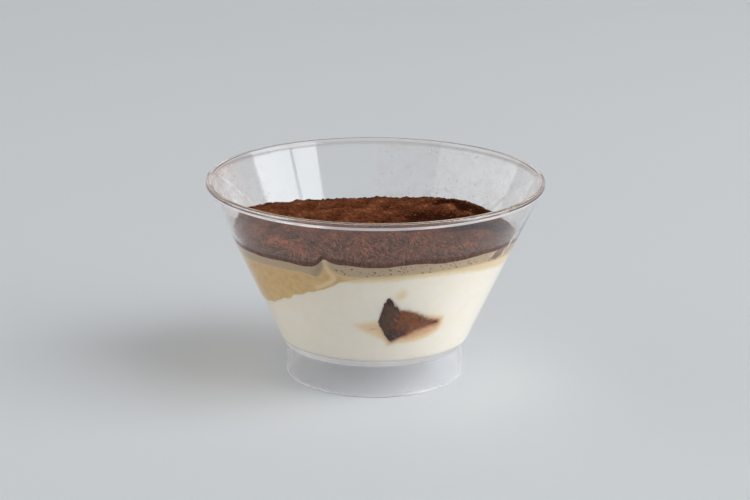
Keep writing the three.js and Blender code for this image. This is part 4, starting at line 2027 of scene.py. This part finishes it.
def build_bubbles(cup: CupShape) -> None:
    """Scatters small dark bubbles through the beige cream where it touches the wall.

    Args:
        cup: The cup's sizes.
    """
    random = np.random.default_rng(BUBBLE_SEED)
    azimuth = random.uniform(-16, 52, BUBBLE_COUNT)
    low = COFFEE_TOP.at_wall(azimuth)
    high = COCOA_UNDERSIDE.at_wall(azimuth)
    height = low + (high - low) * random.uniform(0.05, 0.9, BUBBLE_COUNT)
    places = around(azimuth, cup.inner(height) + 0.17, height)
    normals = around(azimuth, np.ones(BUBBLE_COUNT), np.zeros(BUBBLE_COUNT))
    finish = Speck("film_bubble", linear(92, 70, 52), linear(140, 112, 86))
    sizes = 0.28 + 0.26 * random.uniform(0, 1, BUBBLE_COUNT) ** 2
    bubbles = Scatter("film_bubbles", Slot.BEIGE_CREAM, finish, squash=0.35)
    bubbles.build(places, sizes, normals, BUBBLE_SEED)


def build_plugs(cup: CupShape) -> None:
    """Builds the sponge and the shard that show in the white cream.

    Args:
        cup: The cup's sizes.
    """
    sponge = Crumb("soaked_sponge", linear(76, 28, 2), linear(140, 77, 24), linear(190, 126, 62), 0.8)
    Plug(
        cup, "sponge_corner", Slot.SPONGE, sponge, "soaked_sponge", SPONGE_OUTLINE, depth=15.0,
        narrowing=0.45, proud=0.13, rough=0.3, rough_size=1.1, edge_tone=-0.15, soaked=SPONGE_SOAKED,
    ).build()
    shard = Crumb("dark_shard", linear(56, 25, 13), linear(94, 56, 38), linear(138, 102, 78), 0.7, 0.7)
    Plug(
        cup, "shard", Slot.SHARD, shard, "dark_shard", SHARD_OUTLINE, depth=3.4,
        narrowing=0.35, proud=0.16, rough=0.22, rough_size=0.9, edge_tone=0.15, soaked=SHARD_SOAKED,
    ).build()


def build_smears(cup: CupShape) -> None:
    """Builds the streaks of cream and powder on the wall at the right.

    Args:
        cup: The cup's sizes.
    """
    pale = Speck("smear_cream", linear(210, 188, 172), linear(232, 216, 202), 0.8, 0.5)
    brown = Speck("smear_cocoa", linear(116, 88, 74), linear(156, 126, 108), 0.8)
    groups = (
        ("cream_smears", Slot.WHITE_CREAM, pale, CREAM_SMEARS),
        ("cocoa_smears", Slot.COCOA, brown, COCOA_SMEARS),
    )
    for name, slot, finish, smears in groups:
        mesh = bmesh.new()
        for smear in smears:
            smear.add_to(mesh, cup)
        Piece(name, slot, finish.material(), (), ALL_SMOOTH).finish(mesh)


def build_cocoa(cup: CupShape) -> CocoaTop:
    """Builds the powder, the grains that lie on it and the clumps along its edge.

    Args:
        cup: The cup's sizes.

    Returns:
        The layer of powder, which the dust on the wall starts from.
    """
    cocoa = CocoaTop(cup, COCOA_UNDERSIDE, COCOA_FEATURES, COCOA_PAINTED_LIGHT_AND_SHADE)
    cocoa.build()
    random = np.random.default_rng(COCOA_SEED)
    angle = random.uniform(0, math.tau, GRAIN_COUNT)
    reach = np.sqrt(random.uniform(0, 0.985, GRAIN_COUNT))
    places, _ = cocoa.surface(reach * np.cos(angle), reach * np.sin(angle))
    sizes = 0.2 + 0.55 * random.uniform(0, 1, GRAIN_COUNT) ** 3
    places[:, 2] += 0.1 * sizes
    upwards = np.tile((0.0, 0.0, 1.0), (GRAIN_COUNT, 1))
    grain = Speck("cocoa_grain", linear(64, 34, 22), linear(150, 92, 62), 2.0, 1.0)
    grains = Scatter("cocoa_grains", Slot.COCOA, grain, squash=0.75)
    grains.build(places, sizes, upwards, GRAIN_SEED)
    angle = random.uniform(0, math.tau, CLUMP_COUNT)
    reach = random.uniform(0.965, 0.985, CLUMP_COUNT)
    places, _ = cocoa.surface(reach * np.cos(angle), reach * np.sin(angle))
    sizes = 0.4 + 0.9 * random.uniform(0, 1, CLUMP_COUNT) ** 2
    clump = Speck("cocoa_clump", linear(60, 31, 20), linear(120, 70, 46), 1.5, 1.0)
    clumps = Scatter("cocoa_clumps", Slot.COCOA, clump, squash=0.8)
    clumps.build(places, sizes, upwards[:CLUMP_COUNT], CLUMP_SEED)
    return cocoa


def main() -> None:
    """Builds every piece and the studio."""
    logging.basicConfig(level=logging.INFO, format="%(message)s")
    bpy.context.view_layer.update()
    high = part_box("cup")[1]
    cup = CupShape(rim_radius=high.x / MM, height=high.z / MM)
    ClearCup(cup).build()
    HazeAndPaintedLight(cup).build()
    build_creams(cup)
    build_plugs(cup)
    build_bubbles(cup)
    cocoa = build_cocoa(cup)
    build_smears(cup)
    dust = DustedWall(cup, cocoa)
    dust.build_film()
    dust.build_grains(WALL_GRAIN_COUNT, WALL_GRAIN_SEED)
    Studio().build()
    bpy.context.scene.view_settings.view_transform = "Standard"


if __name__ == "__main__":
    main()
